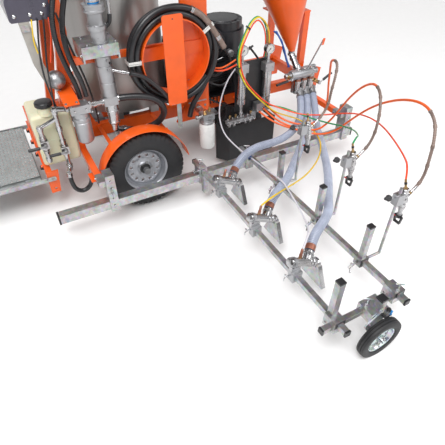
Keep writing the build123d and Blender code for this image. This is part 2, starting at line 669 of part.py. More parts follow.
def square_tube_y(x, z, y0, y1):
    """A square tube along Y with plugged ends."""
    block(x - BAR / 2, x + BAR / 2, y0, y1, z - BAR / 2, z + BAR / 2)
    hollow = BAR / 2 - TUBE_WALL
    block(x - hollow, x + hollow, y0 + 12, y1 - 12, z - hollow, z + hollow, mode=Mode.SUBTRACT)


for name, x in (("gun_bar_a", BAR_A_X), ("gun_bar_b", BAR_B_X)):
    with BuildPart() as gun_bar:
        square_tube_y(x, BAR_Z, BAR_OUT, BAR_IN)
    write(gun_bar.part, name)

CROSS_X0, CROSS_X1 = 3.0, 530.0
with BuildPart() as cross_bar:
    half = BAR / 2
    block(CROSS_X0, CROSS_X1, CROSS_Y - half, CROSS_Y + half, CROSS_Z - half, CROSS_Z + half)
    hollow = half - TUBE_WALL
    block(
        CROSS_X0 + 12,
        CROSS_X1 - 12,
        CROSS_Y - hollow,
        CROSS_Y + hollow,
        CROSS_Z - hollow,
        CROSS_Z + hollow,
        mode=Mode.SUBTRACT,
    )
write(cross_bar.part, "cross_bar")

SLEEVE = 27.0               # half width of the clamp sleeves
SLEEVE_LOW, SLEEVE_TOP = 228.0, 282.0


def t_screw(x, y, z):
    """A clamping screw with a cross handle, standing on a face."""
    rod((x, y, z), (x, y, z + 40), 5)
    rod((x - 18, y + 12, z + 40), (x + 18, y - 12, z + 40), 4)


with BuildPart() as bar_clamps:
    for x in (BAR_A_X, BAR_B_X):
        # where a gun bar crosses the rail
        block(x - 30, x + 30, 65, 145, 160, 280)
        block(x - 30, x + 30, RAIL_Y, RAIL_Y + RAIL_W, RAIL_LOW, RAIL_TOP, mode=Mode.SUBTRACT)
        block(x - 15, x + 15, 65, 145, BAR_Z - 15, BAR_Z + 15, mode=Mode.SUBTRACT)
        t_screw(x, 120, 280)
        # where it crosses the cross bar
        block(x - 30, x + 30, -1364, -1285, 200, 280)
        block(x - 15, x + 15, -1364, -1285, BAR_Z - 15, BAR_Z + 15, mode=Mode.SUBTRACT)
        block(x - 30, x + 30, CROSS_Y - 15, CROSS_Y + 15, 200, BAR_Z - 15, mode=Mode.SUBTRACT)
        block(x - 30, x + 30, -1364, -1285, 200, CROSS_Z - 15)
    # drop sleeve beside the rail
    block(BAR_A_X - 17, BAR_A_X + 17, 31, 65, 95, 235)
    # capped post at the outer end
    block(BAR_A_X - 17, BAR_A_X + 17, -1320, -1286, 280, 505)
    t_screw(BAR_B_X, -1349, 280)
    # castor sleeve on the cross bar, with the square hole of the castor post
    post_hole = CASTOR_POST / 2 + GAP
    block(253, 362, CASTOR_POST_Y - post_hole - 6, -1304, 195, 262)
    block(253, 362, CROSS_Y - 15, CROSS_Y + 15, CROSS_Z - 15, CROSS_Z + 15, mode=Mode.SUBTRACT)
    block(
        CASTOR_POST_X - post_hole,
        CASTOR_POST_X + post_hole,
        CASTOR_POST_Y - post_hole,
        CASTOR_POST_Y + post_hole,
        195,
        262,
        mode=Mode.SUBTRACT,
    )
    t_screw(280, -1334, 262)
write(bar_clamps.part, "bar_clamps")

# carriers of the paint guns: sleeve, capped post and an upright rod, clamped on bar B
ROD_R = 8.0
ROD_LOW, ROD_TOP = 245.0, 690.0
with BuildPart() as gun_carriers:
    for y in PAINT_GUN_Y:
        block(BAR_B_X - SLEEVE, BAR_B_X + SLEEVE, y - 25, y + 25, SLEEVE_LOW, SLEEVE_TOP)
        block(BAR_B_X - 15, BAR_B_X + 15, y - 25, y + 25, BAR_Z - 15, BAR_Z + 15, mode=Mode.SUBTRACT)
        block(BAR_B_X - 15, BAR_B_X + 15, y - 15, y + 15, SLEEVE_TOP, 500)
        rod((BAR_B_X + SLEEVE, y, ROD_LOW), (ROD_X, y, ROD_LOW), ROD_R)
        with Locations((ROD_X, y, ROD_LOW)):
            Sphere(ROD_R)
        rod((ROD_X, y, ROD_LOW), (ROD_X, y, ROD_TOP), ROD_R)
        rod((BAR_B_X - SLEEVE, y, BAR_Z), (BAR_B_X - 50, y, BAR_Z - 12), 5)
        rod((BAR_B_X - 50, y, BAR_Z - 12), (BAR_B_X - 80, y, BAR_Z - 26), 7)
write(gun_carriers.part, "gun_carriers")

# ---------------------------------------------------------------- castor
LEG_Y0, LEG_Y1 = -1408.0, -1400.0
with BuildPart() as castor_fork:
    half = CASTOR_POST / 2
    x, y = CASTOR_POST_X, CASTOR_POST_Y
    block(x - half, x + half, y - half, y + half, 120, 327)
    block(x - half + 3, x + half - 3, y - half + 3, y + half - 3, 120, 317, mode=Mode.SUBTRACT)
    sheet_xz(
        [
            (345, 262),
            (298, 262),
            (258, 232),
            (222, 214),
            (222, 190),
            (258, 130),
            (278, 104),
            (304, 104),
            (322, 125),
            (332, 190),
            (345, 225),
        ],
        LEG_Y0,
        LEG_Y1,
    )
    # head block under the sleeve, joined to the post
    block(305, 345, LEG_Y1, CASTOR_POST_Y - CASTOR_POST / 2, 125, 165)
    # axle pin
    rod((CASTOR_X, LEG_Y1, CASTOR_R), (CASTOR_X, -1486, CASTOR_R), CASTOR_PIN_R)
    # brake shoe over the tyre
    block(316, 344, -1432, LEG_Y0, 256, 276)
write(castor_fork.part, "castor_fork")

castor_wheel = make_wheel(
    CASTOR_X, CASTOR_Y, CASTOR_R, CASTOR_R, CASTOR_W, CASTOR_RIM, CASTOR_PIN_R + FIT, -1, 50, 7, 5
)
write(castor_wheel, "castor_wheel")

# ---------------------------------------------------------------- bead guns
SOCKET = Vector(0.72, 0.60, 0.35)
SOCKET_LENGTH = 62.0
FITTING = Vector(30, 22, 50)


def bead_gun(y):
    """One gun on its sleeve: barrel, hose socket, air fitting and the hood over the bead fan."""
    with BuildPart() as gun:
        block(BAR_A_X - 30, BAR_A_X + 30, y - 32, y + 12, 225, 285)
        block(BAR_A_X - 30, BAR_A_X + 30, y - 12, y + 12, 285, 345)
        clear = BAR / 2 + GAP
        block(
            BAR_A_X - clear,
            BAR_A_X + clear,
            y - 32,
            y + 12,
            BAR_Z - clear,
            BAR_Z + clear,
            mode=Mode.SUBTRACT,
        )
        rod((42, y, 364), (228, y, 275), 26)
        joint = Vector(157, y, 309)
        rod(joint, joint + SOCKET * SOCKET_LENGTH, 29)
        rod((107, y, 335), Vector(107, y, 335) + FITTING, 8)
        # wing screw
        rod((57, y - 10, 270), (28, y - 10, 278), 5)
        block(10, 28, y - 14, y - 6, 268, 292)
        # hood: a fan plate across the lane with a lip along its outer edge
        sheet_yz([(y - 30, 300), (y + 30, 300), (y + 90, 145), (y - 90, 145)], 216, 219)
        sheet_yz([(y - 30, 300), (y - 26, 300), (y - 86, 145), (y - 90, 145)], 219, 244)
        block(205, 219, y - 20, y + 20, 262, 296)
    return gun.part


for number, y in enumerate(BEAD_GUN_Y, 1):
    write(bead_gun(y), "bead_gun_" + str(number))

# ---------------------------------------------------------------- paint guns
INLET = Vector(690, 0, 640)


def paint_gun(y):
    """One spray gun in its clamp on the upright rod."""
    with BuildPart() as gun:
        block(ROD_X - 22, ROD_X + 22, y - 20, y + 20, 590, 655)
        rod((ROD_X, y, 580), (ROD_X, y, 665), ROD_R + 2 * FIT, mode=Mode.SUBTRACT)
        # knob
        rod((ROD_X - 22, y, 640), (540, y, 652), 6)
        rod((540, y, 652), (505, y, 660), 17)
        block(ROD_X + 22, 645, y - 12, y + 12, 600, 632)
        rod((635, y, 675), (640, y, 640), 17)
        rod((640, y, 640), (652, y, 545), 20)
        rod((652, y, 545), (658, y, 495), 13)
        # tip and its guard
        rod((658, y, 495), (659, y, 482), 9)
        for side in (-1, 1):
            block(648, 666, y + side * 17 - 3, y + side * 17 + 3, 446, 486)
        block(648, 666, y - 20, y + 20, 482, 490)
        # fluid inlet and air inlet
        rod((652, y, 612), (INLET.X, y, INLET.Z), 9)
        rod((634, y, 672), (640, y + 18, 705), 6)
    return gun.part


for number, y in enumerate(PAINT_GUN_Y, 1):
    write(paint_gun(y), "paint_gun_" + str(number))

# ---------------------------------------------------------------- hoses


def hose(points, radius, name):
    """A tube along straight runs joined by arcs as large as the runs allow."""
    corners = [Vector(*point) for point in points]
    radii = []
    for before, corner, after in zip(corners, corners[1:], corners[2:]):
        run = min((corner - before).length, (after - corner).length)
        half_turn = math.radians((corner - before).get_angle(after - corner)) / 2
        radii.append(0.45 * run / math.tan(half_turn))
    with BuildPart() as tube:
        with BuildLine() as route:
            FilletPolyline(*corners, radius=radii)
        path = route.wire()
        with BuildSketch(Plane(origin=path @ 0, z_dir=path % 0)):
            Circle(radius)
        sweep(path=path)
    length = path.length
    share = tube.part.volume / (math.pi * radius**2 * length)
    least = min(radii) / (2 * radius)
    print(name, "length", round(length), "tightest", round(least, 1), "diameters, volume", round(share, 4))
    return tube.part


SOCKET_END = Vector(157, 0, 309) + SOCKET * (SOCKET_LENGTH + 4)
BEAD_HOSE_R = 28.0
BEAD_ROUTES = (
    [
        (1129, 397, 426),
        (1079, 310, 383),
        (1010, 222, 342),
        (905, 150, 318),
        (780, 98, 310),
        (650, 58, 326),
        (505, 18, 360),
        (375, -35, 376),
        (263, -97, 361),
        SOCKET_END + Vector(0, BEAD_GUN_Y[0], 0),
    ],
    [
        (1192, 397, 426),
        (1147, 312, 382),
        (1090, 232, 330),
        (1015, 142, 294),
        (915, 42, 276),
        (806, -62, 270),
        (689, -164, 280),
        (574, -278, 303),
        (459, -379, 328),
        (350, -458, 348),
        (261, -518, 359),
        SOCKET_END + Vector(0, BEAD_GUN_Y[1], 0),
    ],
    [
        (1255, 397, 426),
        (1210, 305, 380),
        (1160, 213, 330),
        (1098, 110, 294),
        (1040, -15, 274),
        (955, -160, 268),
        (860, -315, 268),
        (745, -468, 276),
        (615, -618, 300),
        (508, -748, 325),
        (422, -812, 345),
        (340, -862, 358),
        (261, -913, 360),
        SOCKET_END + Vector(0, BEAD_GUN_Y[2], 0),
    ],
)
for number, route_points in enumerate(BEAD_ROUTES, 1):
    name = "bead_hose_" + str(number)
    write(hose(route_points, BEAD_HOSE_R, name), name)

PAINT_HOSE_R = 8.0
PAINT_ROUTES = (
    [
        (768, 337, 472),
        (800, 290, 425),
        (850, 215, 382),
        (935, 110, 368),
        (1035, 62, 385),
        (1085, 45, 465),
        (1078, 20, 590),
        (1035, -35, 730),
        (965, -105, 860),
        (890, -175, 958),
        (825, -252, 982),
        (790, -298, 915),
        (779, -305, 830),
        (776, -308, 760),
        (747, -305, 690),
        (693, -305, 642),
    ],
    [
        (738, 337, 452),
        (772, 288, 408),
        (830, 205, 365),
        (915, 95, 348),
        (1005, 0, 358),
        (1065, -45, 440),
        (1068, -120, 570),
        (1030, -225, 710),
        (962, -370, 850),
        (885, -520, 945),
        (812, -640, 955),
        (776, -698, 885),
        (770, -710, 800),
        (762, -711, 730),
        (733, -710, 672),
        (693, -710, 642),
    ],
    [
        (703, 337, 434),
        (738, 285, 398),
        (800, 200, 364),
        (890, 80, 354),
        (985, -45, 348),
        (1060, -130, 405),
        (1080, -225, 530),
        (1050, -370, 680),
        (985, -540, 815),
        (910, -730, 930),
        (846, -898, 988),
        (796, -1012, 962),
        (757, -1066, 888),
        (740, -1086, 800),
        (742, -1090, 728),
        (725, -1091, 672),
        (693, -1090, 642),
    ],
)
for number, route_points in enumerate(PAINT_ROUTES, 1):
    name = "paint_hose_" + str(number)
    write(hose(route_points, PAINT_HOSE_R, name), name)

# coil of spare hose round the drum, with one end hanging down beside the post
COIL_TAIL = [
    (285, 366, 788),
    (262, 364, 735),
    (226, 362, 682),
    (182, 360, 632),
    (148, 358, 580),
    (136, 358, 525),
]
with BuildPart() as coil:
    pipe((DRUM_X, COIL_Y0, DRUM_Z), (DRUM_X, COIL_Y1, DRUM_Z), COIL_OUT, COIL_IN)
tail = hose(COIL_TAIL, 19, "hose_coil")
write(Compound(children=[coil.part, tail]), "hose_coil")

AIR_ROUTES = (
    # white line to bead gun 3
    [
        (508, 377, 785),
        (462, 384, 735),
        (415, 384, 640),
        (380, 378, 540),
        (365, 350, 445),
        (368, 290, 365),
        (385, 200, 330),
        (398, 85, 318),
        (410, -40, 322),
        (412, -170, 332),
        (403, -300, 354),
        (388, -430, 388),
        (362, -555, 386),
        (336, -680, 372),
        (300, -790, 374),
        (250, -880, 402),
        (188, -945, 425),
        (141, -975, 392),
    ],
    # yellow line, round a tall loop beside the gauges and on to bead gun 2
    [
        (790, 416, 812),
        (801, 405, 895),
        (771, 395, 1022),
        (690, 380, 1103),
        (619, 365, 1081),
        (564, 350, 1012),
        (510, 338, 910),
        (506, 326, 805),
        (542, 314, 700),
        (620, 302, 604),
        (728, 285, 498),
        (808, 262, 432),
        (898, 232, 398),
        (965, 160, 382),
        (995, 55, 352),
        (985, -60, 326),
        (920, -160, 312),
        (825, -250, 306),
        (715, -325, 310),
        (600, -390, 322),
        (480, -445, 346),
        (375, -495, 376),
        (285, -540, 402),
        (200, -575, 418),
        (141, -580, 392),
    ],
    # green line, along the same loop to paint gun 2
    [
        (776, 418, 812),
        (788, 419, 893),
        (764, 409, 1024),
        (690, 394, 1104),
        (619, 379, 1082),
        (564, 364, 1013),
        (510, 352, 911),
        (506, 340, 806),
        (542, 328, 701),
        (620, 316, 605),
        (728, 299, 499),
        (850, 285, 464),
        (925, 205, 442),
        (985, 105, 424),
        (1030, 0, 428),
        (1040, -115, 456),
        (1022, -230, 500),
        (975, -340, 548),
        (915, -440, 594),
        (835, -535, 640),
        (752, -615, 692),
        (682, -665, 730),
        (643, -687, 713),
    ],
    # orange line, inside the same loop, to paint gun 3
    [
        (762, 417, 812),
        (770, 407, 890),
        (750, 402, 1005),
        (686, 386, 1082),
        (632, 371, 1065),
        (581, 356, 1003),
        (524, 341, 908),
        (521, 331, 806),
        (555, 320, 708),
        (629, 309, 616),
        (735, 291, 512),
        (803, 265, 482),
        (870, 235, 452),
        (960, 150, 430),
        (1060, 40, 452),
        (1125, -80, 505),
        (1135, -210, 560),
        (1105, -350, 605),
        (1050, -480, 640),
        (985, -600, 668),
        (915, -715, 690),
        (840, -830, 710),
        (765, -935, 730),
        (695, -1020, 745),
        (643, -1067, 713),
    ],
)
AIR_R = 5.0
air_lines = [hose(points, AIR_R, "air_lines") for points in AIR_ROUTES]
write(Compound(children=air_lines), "air_lines")

BLACK_ROUTES = (
    # pump outlet to the fitting behind the drum cover
    (
        15.0,
        [
            (-259, 305, 924),
            (-208, 302, 908),
            (-156, 299, 872),
            (-108, 297, 822),
            (-64, 296, 768),
            (-28, 296, 716),
        ],
    ),
    # pump outlet block, round and back to the foot elbow
    (
        21.0,
        [
            (-343, 343, 772),
            (-285, 322, 778),
            (-205, 302, 770),
            (-125, 299, 740),
            (-72, 300, 678),
            (-62, 322, 604),
            (-100, 358, 538),
            (-165, 395, 500),
            (-230, 405, 488),
            (-277, 396, 513),
        ],
    ),
    # pressure hoses from the console down to the pump
    (
        15.0,
        [
            (-485, 440, 1400),
            (-530, 430, 1300),
            (-566, 418, 1190),
            (-572, 398, 1080),
            (-552, 389, 980),
            (-528, 388, 890),
            (-522, 392, 805),
        ],
    ),
    (
        15.0,
        [
            (-540, 460, 1400),
            (-590, 450, 1290),
            (-612, 438, 1170),
            (-606, 426, 1060),
            (-585, 416, 960),
            (-562, 412, 870),
            (-556, 410, 790),
        ],
    ),
    # suction hose of the solvent tank, a deep loop
    (
        15.0,
        [
            (-744, 372, 298),
            (-744, 370, 240),
            (-728, 368, 190),
            (-690, 366, 164),
            (-645, 364, 180),
            (-614, 362, 230),
            (-604, 360, 298),
        ],
    ),
)
black_hoses = [hose(points, radius, "black_hoses") for radius, points in BLACK_ROUTES]
write(Compound(children=black_hoses), "black_hoses")
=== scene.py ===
import bmesh
import bpy
import math
from mathutils import Matrix, Vector


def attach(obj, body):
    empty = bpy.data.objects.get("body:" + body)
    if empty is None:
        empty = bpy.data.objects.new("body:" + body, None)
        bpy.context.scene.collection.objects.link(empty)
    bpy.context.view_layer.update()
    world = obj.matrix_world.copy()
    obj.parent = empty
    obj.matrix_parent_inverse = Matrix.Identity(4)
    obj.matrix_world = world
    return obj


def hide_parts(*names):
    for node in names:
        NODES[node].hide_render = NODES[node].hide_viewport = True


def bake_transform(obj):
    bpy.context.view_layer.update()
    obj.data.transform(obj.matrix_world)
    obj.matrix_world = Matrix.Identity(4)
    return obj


# A ride-on line striping machine. +X is forward, +Y left, +Z up. Shapes are in millimetres in the frame of
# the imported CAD; a turned shape is a list of (distance along its axis, radius).
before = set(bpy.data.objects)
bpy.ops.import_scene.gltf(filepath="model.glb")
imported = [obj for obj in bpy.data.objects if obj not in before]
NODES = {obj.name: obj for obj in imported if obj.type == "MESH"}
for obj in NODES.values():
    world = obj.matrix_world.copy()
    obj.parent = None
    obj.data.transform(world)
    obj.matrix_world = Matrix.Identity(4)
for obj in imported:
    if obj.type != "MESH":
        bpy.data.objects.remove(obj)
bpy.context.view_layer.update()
SCENE = bpy.context.scene.collection
MM = 0.001

# ---------------------------------------------------------------- camera
eye = bpy.data.cameras.new("camera")
eye.lens = 33.78
eye.sensor_width = 36.0
eye.clip_end = 50.0
camera = bpy.data.objects.new("camera", eye)
SCENE.objects.link(camera)
camera.location = (-0.936, -2.1055, 1.908)
camera.rotation_euler = (math.radians(90 - 41.59), 0, math.radians(-28.39))
bpy.context.scene.camera = camera

# ---------------------------------------------------------------- materials


def material(name, colour, rough=0.4, metal=0.0, vary=0.12, scale=12.0, stretch=(1, 1, 1), bump=0.1,
             bump_scale=300.0, rough_vary=0.12, grime=0.0, grime_colour=(0.10, 0.085, 0.07), cells=0.0,
             **sockets):
    """A shader with uneven colour, uneven gloss, fine relief and, where asked, grime or metal grains."""
    made = bpy.data.materials.new(name)
    made.use_nodes = True
    nodes, links = made.node_tree.nodes, made.node_tree.links
    place = nodes.new("ShaderNodeTexCoord").outputs["Object"]

    def add(kind, source, socket, **values):
        """A node fed at one socket, with its other sockets set."""
        node = nodes.new("ShaderNode" + kind)
        for key, value in values.items():
            node.inputs[key.replace("_", " ")].default_value = value
        links.new(source, node.inputs[socket])
        return node

    def mix(base, blend, factor=None, **values):
        """Another colour laid over the base."""
        node = nodes.new("ShaderNodeMix")
        node.data_type = "RGBA"
        node.blend_type = blend
        for key, value in values.items():
            node.inputs[key].default_value = value
        if factor:
            links.new(factor, node.inputs["Factor"])
        links.new(base, node.inputs["A"])
        return node

    shader = nodes["Principled BSDF"]
    shader.inputs["Metallic"].default_value = metal
    for socket, value in sockets.items():
        shader.inputs[socket.replace("_", " ")].default_value = value
    stretched = add("Mapping", place, "Vector", Scale=stretch).outputs["Vector"]
    patch = add("TexNoise", stretched, "Vector", Scale=scale, Detail=5.0).outputs["Fac"]
    tint = add("ValToRGB", patch, "Fac")
    dark, light = tint.color_ramp.elements
    dark.position, light.position = 0.3, 0.7
    dark.color = (*(c * (1 - vary) for c in colour), 1)
    light.color = (*(min(1, c * (1 + vary)) for c in colour), 1)
    shade = tint.outputs["Color"]
    if cells:
        grain = add("TexVoronoi", place, "Vector", Scale=cells)
        over = mix(shade, "SOFT_LIGHT", Factor=0.28)
        links.new(grain.outputs["Color"], over.inputs["B"])
        shade = over.outputs["Result"]
    if grime:
        spots = add("TexNoise", place, "Vector", Scale=7.0, Detail=9.0)
        limit = add("MapRange", spots.outputs["Fac"], "Value", From_Min=0.52, From_Max=0.75, To_Max=grime)
        shade = mix(shade, "MIX", limit.outputs["Result"], B=(*grime_colour, 1)).outputs["Result"]
    links.new(shade, shader.inputs["Base Color"])
    gloss = add("MapRange", patch, "Value", To_Min=max(0.03, rough - rough_vary),
                To_Max=min(1.0, rough + rough_vary))
    links.new(gloss.outputs["Result"], shader.inputs["Roughness"])
    relief = add("TexNoise", stretched, "Vector", Scale=bump_scale, Detail=3.0)
    raised = add("Bump", relief.outputs["Fac"], "Height", Strength=bump, Distance=0.001)
    links.new(raised.outputs["Normal"], shader.inputs["Normal"])
    return made


ORANGE = material("orange_paint", (0.80, 0.105, 0.008), 0.34, vary=0.07, bump=0.12, bump_scale=160,
                  grime=0.12, grime_colour=(0.30, 0.05, 0.02), Coat_Weight=0.25, Coat_Roughness=0.15)
BLACK_PAINT = material("black_paint", (0.018, 0.018, 0.02), 0.38, vary=0.3, bump=0.2, grime=0.25)
CONSOLE = material("console_paint", (0.055, 0.05, 0.075), 0.30, vary=0.2, bump=0.3, bump_scale=500,
                   Coat_Weight=0.3)
GALV = material("galvanised", (0.45, 0.455, 0.46), 0.34, metal=0.85, vary=0.22, scale=22, cells=70,
                bump=0.15, bump_scale=90, grime=0.45, grime_colour=(0.24, 0.20, 0.18))
STAINLESS = material("stainless", (0.36, 0.35, 0.34), 0.36, metal=0.85, vary=0.14, scale=8,
                     stretch=(1, 1, 0.05), bump=0.12, bump_scale=400)
BRIGHT = material("bright_steel", (0.47, 0.47, 0.48), 0.20, metal=0.97, vary=0.14, scale=25, bump=0.08,
                  bump_scale=200, grime=0.40, grime_colour=(0.26, 0.20, 0.17))
CHROME = material("chrome", (0.62, 0.63, 0.65), 0.10, metal=1.0, vary=0.05, bump=0.03, rough_vary=0.05)
STEEL = material("steel", (0.36, 0.36, 0.37), 0.40, metal=0.9, vary=0.15, grime=0.2)
CAST = material("cast_silver", (0.40, 0.405, 0.42), 0.38, metal=0.85, vary=0.12, bump=0.4, bump_scale=700,
                grime=0.25, grime_colour=(0.22, 0.19, 0.17))
BRASS = material("brass", (0.60, 0.40, 0.18), 0.28, metal=1.0, vary=0.2, grime=0.2)
COPPER_CUFF = material("dull_brass", (0.30, 0.12, 0.08), 0.36, metal=0.6, vary=0.25, grime=0.2)
TYRE = material("tyre", (0.016, 0.016, 0.018), 0.62, vary=0.25, bump=0.35, bump_scale=260, grime=0.25,
                grime_colour=(0.06, 0.055, 0.05))
RIM = material("rim_paint", (0.40, 0.41, 0.44), 0.36, metal=0.6, vary=0.08, bump=0.15, grime=0.2)
ZINC = material("zinc_rim", (0.50, 0.55, 0.57), 0.25, metal=0.8, vary=0.12, cells=60, bump=0.08)
RUBBER = material("black_rubber", (0.016, 0.016, 0.018), 0.55, vary=0.3, bump=0.25, bump_scale=400)
PLASTIC = material("black_plastic", (0.020, 0.020, 0.022), 0.36, vary=0.25, bump=0.25, bump_scale=600)
ENGINE = material("engine_black", (0.014, 0.014, 0.017), 0.33, vary=0.4, bump=0.3, bump_scale=150,
                  grime=0.35, grime_colour=(0.05, 0.05, 0.055))
TANK_WHITE = material("tank_plastic", (0.70, 0.67, 0.48), 0.45, vary=0.07, scale=4, bump=0.2,
                      bump_scale=120, Subsurface_Weight=0.15)
WHITE = material("white_paint", (0.68, 0.68, 0.67), 0.28, vary=0.04, bump=0.06, grime=0.06)
DIAL = material("dial", (0.62, 0.62, 0.60), 0.35, vary=0.02, bump=0.02)
TIE = material("cable_tie", (0.66, 0.66, 0.64), 0.40, vary=0.06, bump=0.2)
BLUE = material("blue_tube", (0.01, 0.24, 0.62), 0.28, vary=0.12, bump=0.05)
CABLE_BLUE = material("blue_cable", (0.01, 0.07, 0.32), 0.40, vary=0.2, bump=0.2)
RED = material("red_paint", (0.62, 0.03, 0.02), 0.35, vary=0.1, bump=0.1)
TREAD = material("tread_plate", (0.46, 0.49, 0.49), 0.36, metal=0.8, vary=0.14, scale=20, bump=0.2,
                 bump_scale=220, grime=0.30, grime_colour=(0.22, 0.21, 0.20))
TREAD_TOP = material("tread_ribs", (0.74, 0.76, 0.76), 0.24, metal=0.8, vary=0.10, scale=30, bump=0.1)
CLEAR_HOSE = material("clear_hose", (0.22, 0.25, 0.34), 0.20, vary=0.18, scale=30, bump=0.1,
                      Transmission_Weight=0.20, IOR=1.4)
# a lighter copy of the clear hose colour, laid on the rib crests as a painted highlight
BEAD_RIB_HIGHLIGHT = material("hose_rib_highlight", (0.42, 0.46, 0.57), 0.24, vary=0.12, bump=0.1)
ORANGE_HOSE = material("orange_hose", (0.84, 0.125, 0.015), 0.34, vary=0.08, bump=0.15, bump_scale=250)
RED_HOSE = material("red_hose", (0.86, 0.075, 0.02), 0.28, vary=0.08, bump=0.05)
YELLOW_HOSE = material("yellow_hose", (0.74, 0.50, 0.01), 0.28, vary=0.07, bump=0.05)
GREEN_HOSE = material("green_hose", (0.01, 0.30, 0.10), 0.28, vary=0.10, bump=0.05)
WHITE_HOSE = material("white_hose", (0.60, 0.59, 0.64), 0.28, vary=0.05, bump=0.05)
SHEATH = material("grey_sheath", (0.23, 0.17, 0.145), 0.42, metal=0.3, vary=0.25, scale=40, bump=0.3)
BLACK_HOSE = material("black_hose", (0.017, 0.017, 0.019), 0.30, vary=0.3, bump=0.2, bump_scale=300)

# ---------------------------------------------------------------- mesh builders
UP, NEAR_SIDE = (0, 0, 1), (0, -1, 0)
BOX_SIDES = ((0, 1, 3, 2), (4, 6, 7, 5), (0, 4, 5, 1), (2, 3, 7, 6), (0, 2, 6, 4), (1, 5, 7, 3))


def on_x(a, b, c):
    """A point of an outline drawn in the y-z plane, c along x."""
    return Vector((c, a, b))


def on_y(a, b, c):
    """A point of an outline drawn in the x-z plane, c along y."""
    return Vector((a, c, b))


def around(count, radius, start=0.0):
    """Evenly spaced places on a circle, as pairs of offsets."""
    return [(radius * math.cos(a), radius * math.sin(a))
            for a in (2 * math.pi * k / count + start for k in range(count))]


def soften(thing, width, angle):
    """Rounded edges on a mesh object."""
    edge = thing.modifiers.new("edges", "BEVEL")
    edge.width = width
    edge.segments = 2
    edge.limit_method = "ANGLE"
    edge.angle_limit = math.radians(angle)
    edge.harden_normals = True


def running_lengths(path):
    """The distance along a path at each of its points."""
    lengths = [0.0]
    for a, b in zip(path, path[1:]):
        lengths.append(lengths[-1] + (b - a).length)
    return lengths


class Piece:
    """Solids given in millimetres that become one object."""

    def __init__(self):
        self.bm = bmesh.new()
        self.slots = []
        self.current = 0

    def use(self, look):
        if look not in self.slots:
            self.slots.append(look)
        self.current = self.slots.index(look)
        return self

    def faces(self, verts, loops):
        made = [self.bm.verts.new(Vector(v) * MM) for v in verts]
        for loop in loops:
            face = self.bm.faces.new([made[i] for i in loop])
            face.material_index = self.current
        return made

    def block(self, x0, x1, y0, y1, z0, z1):
        self.faces([(x, y, z) for x in (x0, x1) for y in (y0, y1) for z in (z0, z1)], BOX_SIDES)
        return self

    def turned(self, start, end, steps, sides=32, closed=True):
        """A turned shape on a line: steps are (distance from start, radius)."""
        start, end = Vector(start), Vector(end)
        along = (end - start).normalized()
        across = along.orthogonal().normalized()
        up = along.cross(across)
        rings = []
        for distance, radius in steps:
            centre = start + along * distance
            rings.append([centre + across * a + up * b for a, b in around(sides, max(radius, 0.05))])
        verts = [v for ring in rings for v in ring]
        loops = []
        for r in range(len(rings) - 1):
            for k in range(sides):
                n = (k + 1) % sides
                loops.append((r * sides + k, r * sides + n, (r + 1) * sides + n, (r + 1) * sides + k))
        if closed:
            loops.append(tuple(range(sides - 1, -1, -1)))
            loops.append(tuple((len(rings) - 1) * sides + k for k in range(sides)))
        self.faces(verts, loops)
        return self

    def nut(self, start, end, radius, low, high, sides=6):
        """A straight length on a line, hexagonal unless told otherwise."""
        return self.turned(start, end, [(low, radius), (high, radius)], sides)

    def rod(self, start, end, radius, sides=32, soft=0.0):
        length = (Vector(end) - Vector(start)).length
        steps = [(0, radius), (length, radius)]
        if soft:
            steps = [(0, radius - soft), (soft, radius), (length - soft, radius), (length, radius - soft)]
        return self.turned(start, end, steps, sides)

    def ring(self, centre, axis, loop, sides=64, bulge=None):
        """A closed outline of (radius, distance along the axis) turned all the way round."""
        centre, along = Vector(centre), Vector(axis).normalized()
        across = along.orthogonal().normalized()
        up = along.cross(across)
        verts, loops = [], []
        count = len(loop)
        for k in range(sides):
            angle = 2 * math.pi * k / sides
            out = across * math.cos(angle) + up * math.sin(angle)
            for i, (radius, distance) in enumerate(loop):
                extra = bulge(k, i) if bulge else 0.0
                verts.append(centre + out * (radius + extra) + along * distance)
        for k in range(sides):
            n = (k + 1) % sides
            for i in range(count):
                j = (i + 1) % count
                loops.append((k * count + i, n * count + i, n * count + j, k * count + j))
        self.faces(verts, loops)
        return self

    def plate(self, outline, to_space, low, high):
        """An outline in a plane, made solid between two offsets."""
        count = len(outline)
        verts = [to_space(a, b, low) for a, b in outline] + [to_space(a, b, high) for a, b in outline]
        loops = [tuple(range(count - 1, -1, -1)), tuple(range(count, 2 * count))]
        loops += [(i, (i + 1) % count, count + (i + 1) % count, count + i) for i in range(count)]
        self.faces(verts, loops)
        return self

    def ball(self, centre, radius, squash=1.0):
        size = Matrix.Translation(Vector(centre) * MM) @ Matrix.Diagonal((1, 1, squash, 1))
        made = bmesh.ops.create_uvsphere(self.bm, u_segments=32, v_segments=20, radius=radius * MM,
            matrix=size)
        for face in {f for v in made["verts"] for f in v.link_faces}:
            face.material_index = self.current
        return self

    def bolt(self, place, out, radius=6.0, height=5.0, washer=True):
        """A hexagon head on a washer, standing on a face."""
        place, out = Vector(place), Vector(out).normalized()
        if washer:
            self.turned(place, place + out, [(0, radius * 1.45), (1.4, radius * 1.45)], 24)
        head = [(0, radius), (height - 0.8, radius), (height, radius * 0.86)]
        self.turned(place + out * 1.4, place + out * 9, head, 6)
        return self

    def bent(self, points, radius, sides=16):
        """A bent bar along points."""
        path = smooth_path("scratch", points)
        sweep(self, path, lambda s, total: radius, sides)
        return self

    def done(self, name, body, slot, replaces=(), bevel=0.0, angle=32):
        bmesh.ops.recalc_face_normals(self.bm, faces=self.bm.faces)
        mesh = bpy.data.meshes.new(name)
        self.bm.to_mesh(mesh)
        self.bm.free()
        for look in self.slots:
            mesh.materials.append(look)
        mesh.polygons.foreach_set("use_smooth", [True] * len(mesh.polygons))
        mesh.set_sharp_from_angle(angle=math.radians(angle))
        piece = bpy.data.objects.new(name, mesh)
        SCENE.objects.link(piece)
        if bevel:
            soften(piece, bevel * MM, 38)
        if body:
            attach(piece, body)
        if replaces:
            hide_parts(*replaces)
        return piece


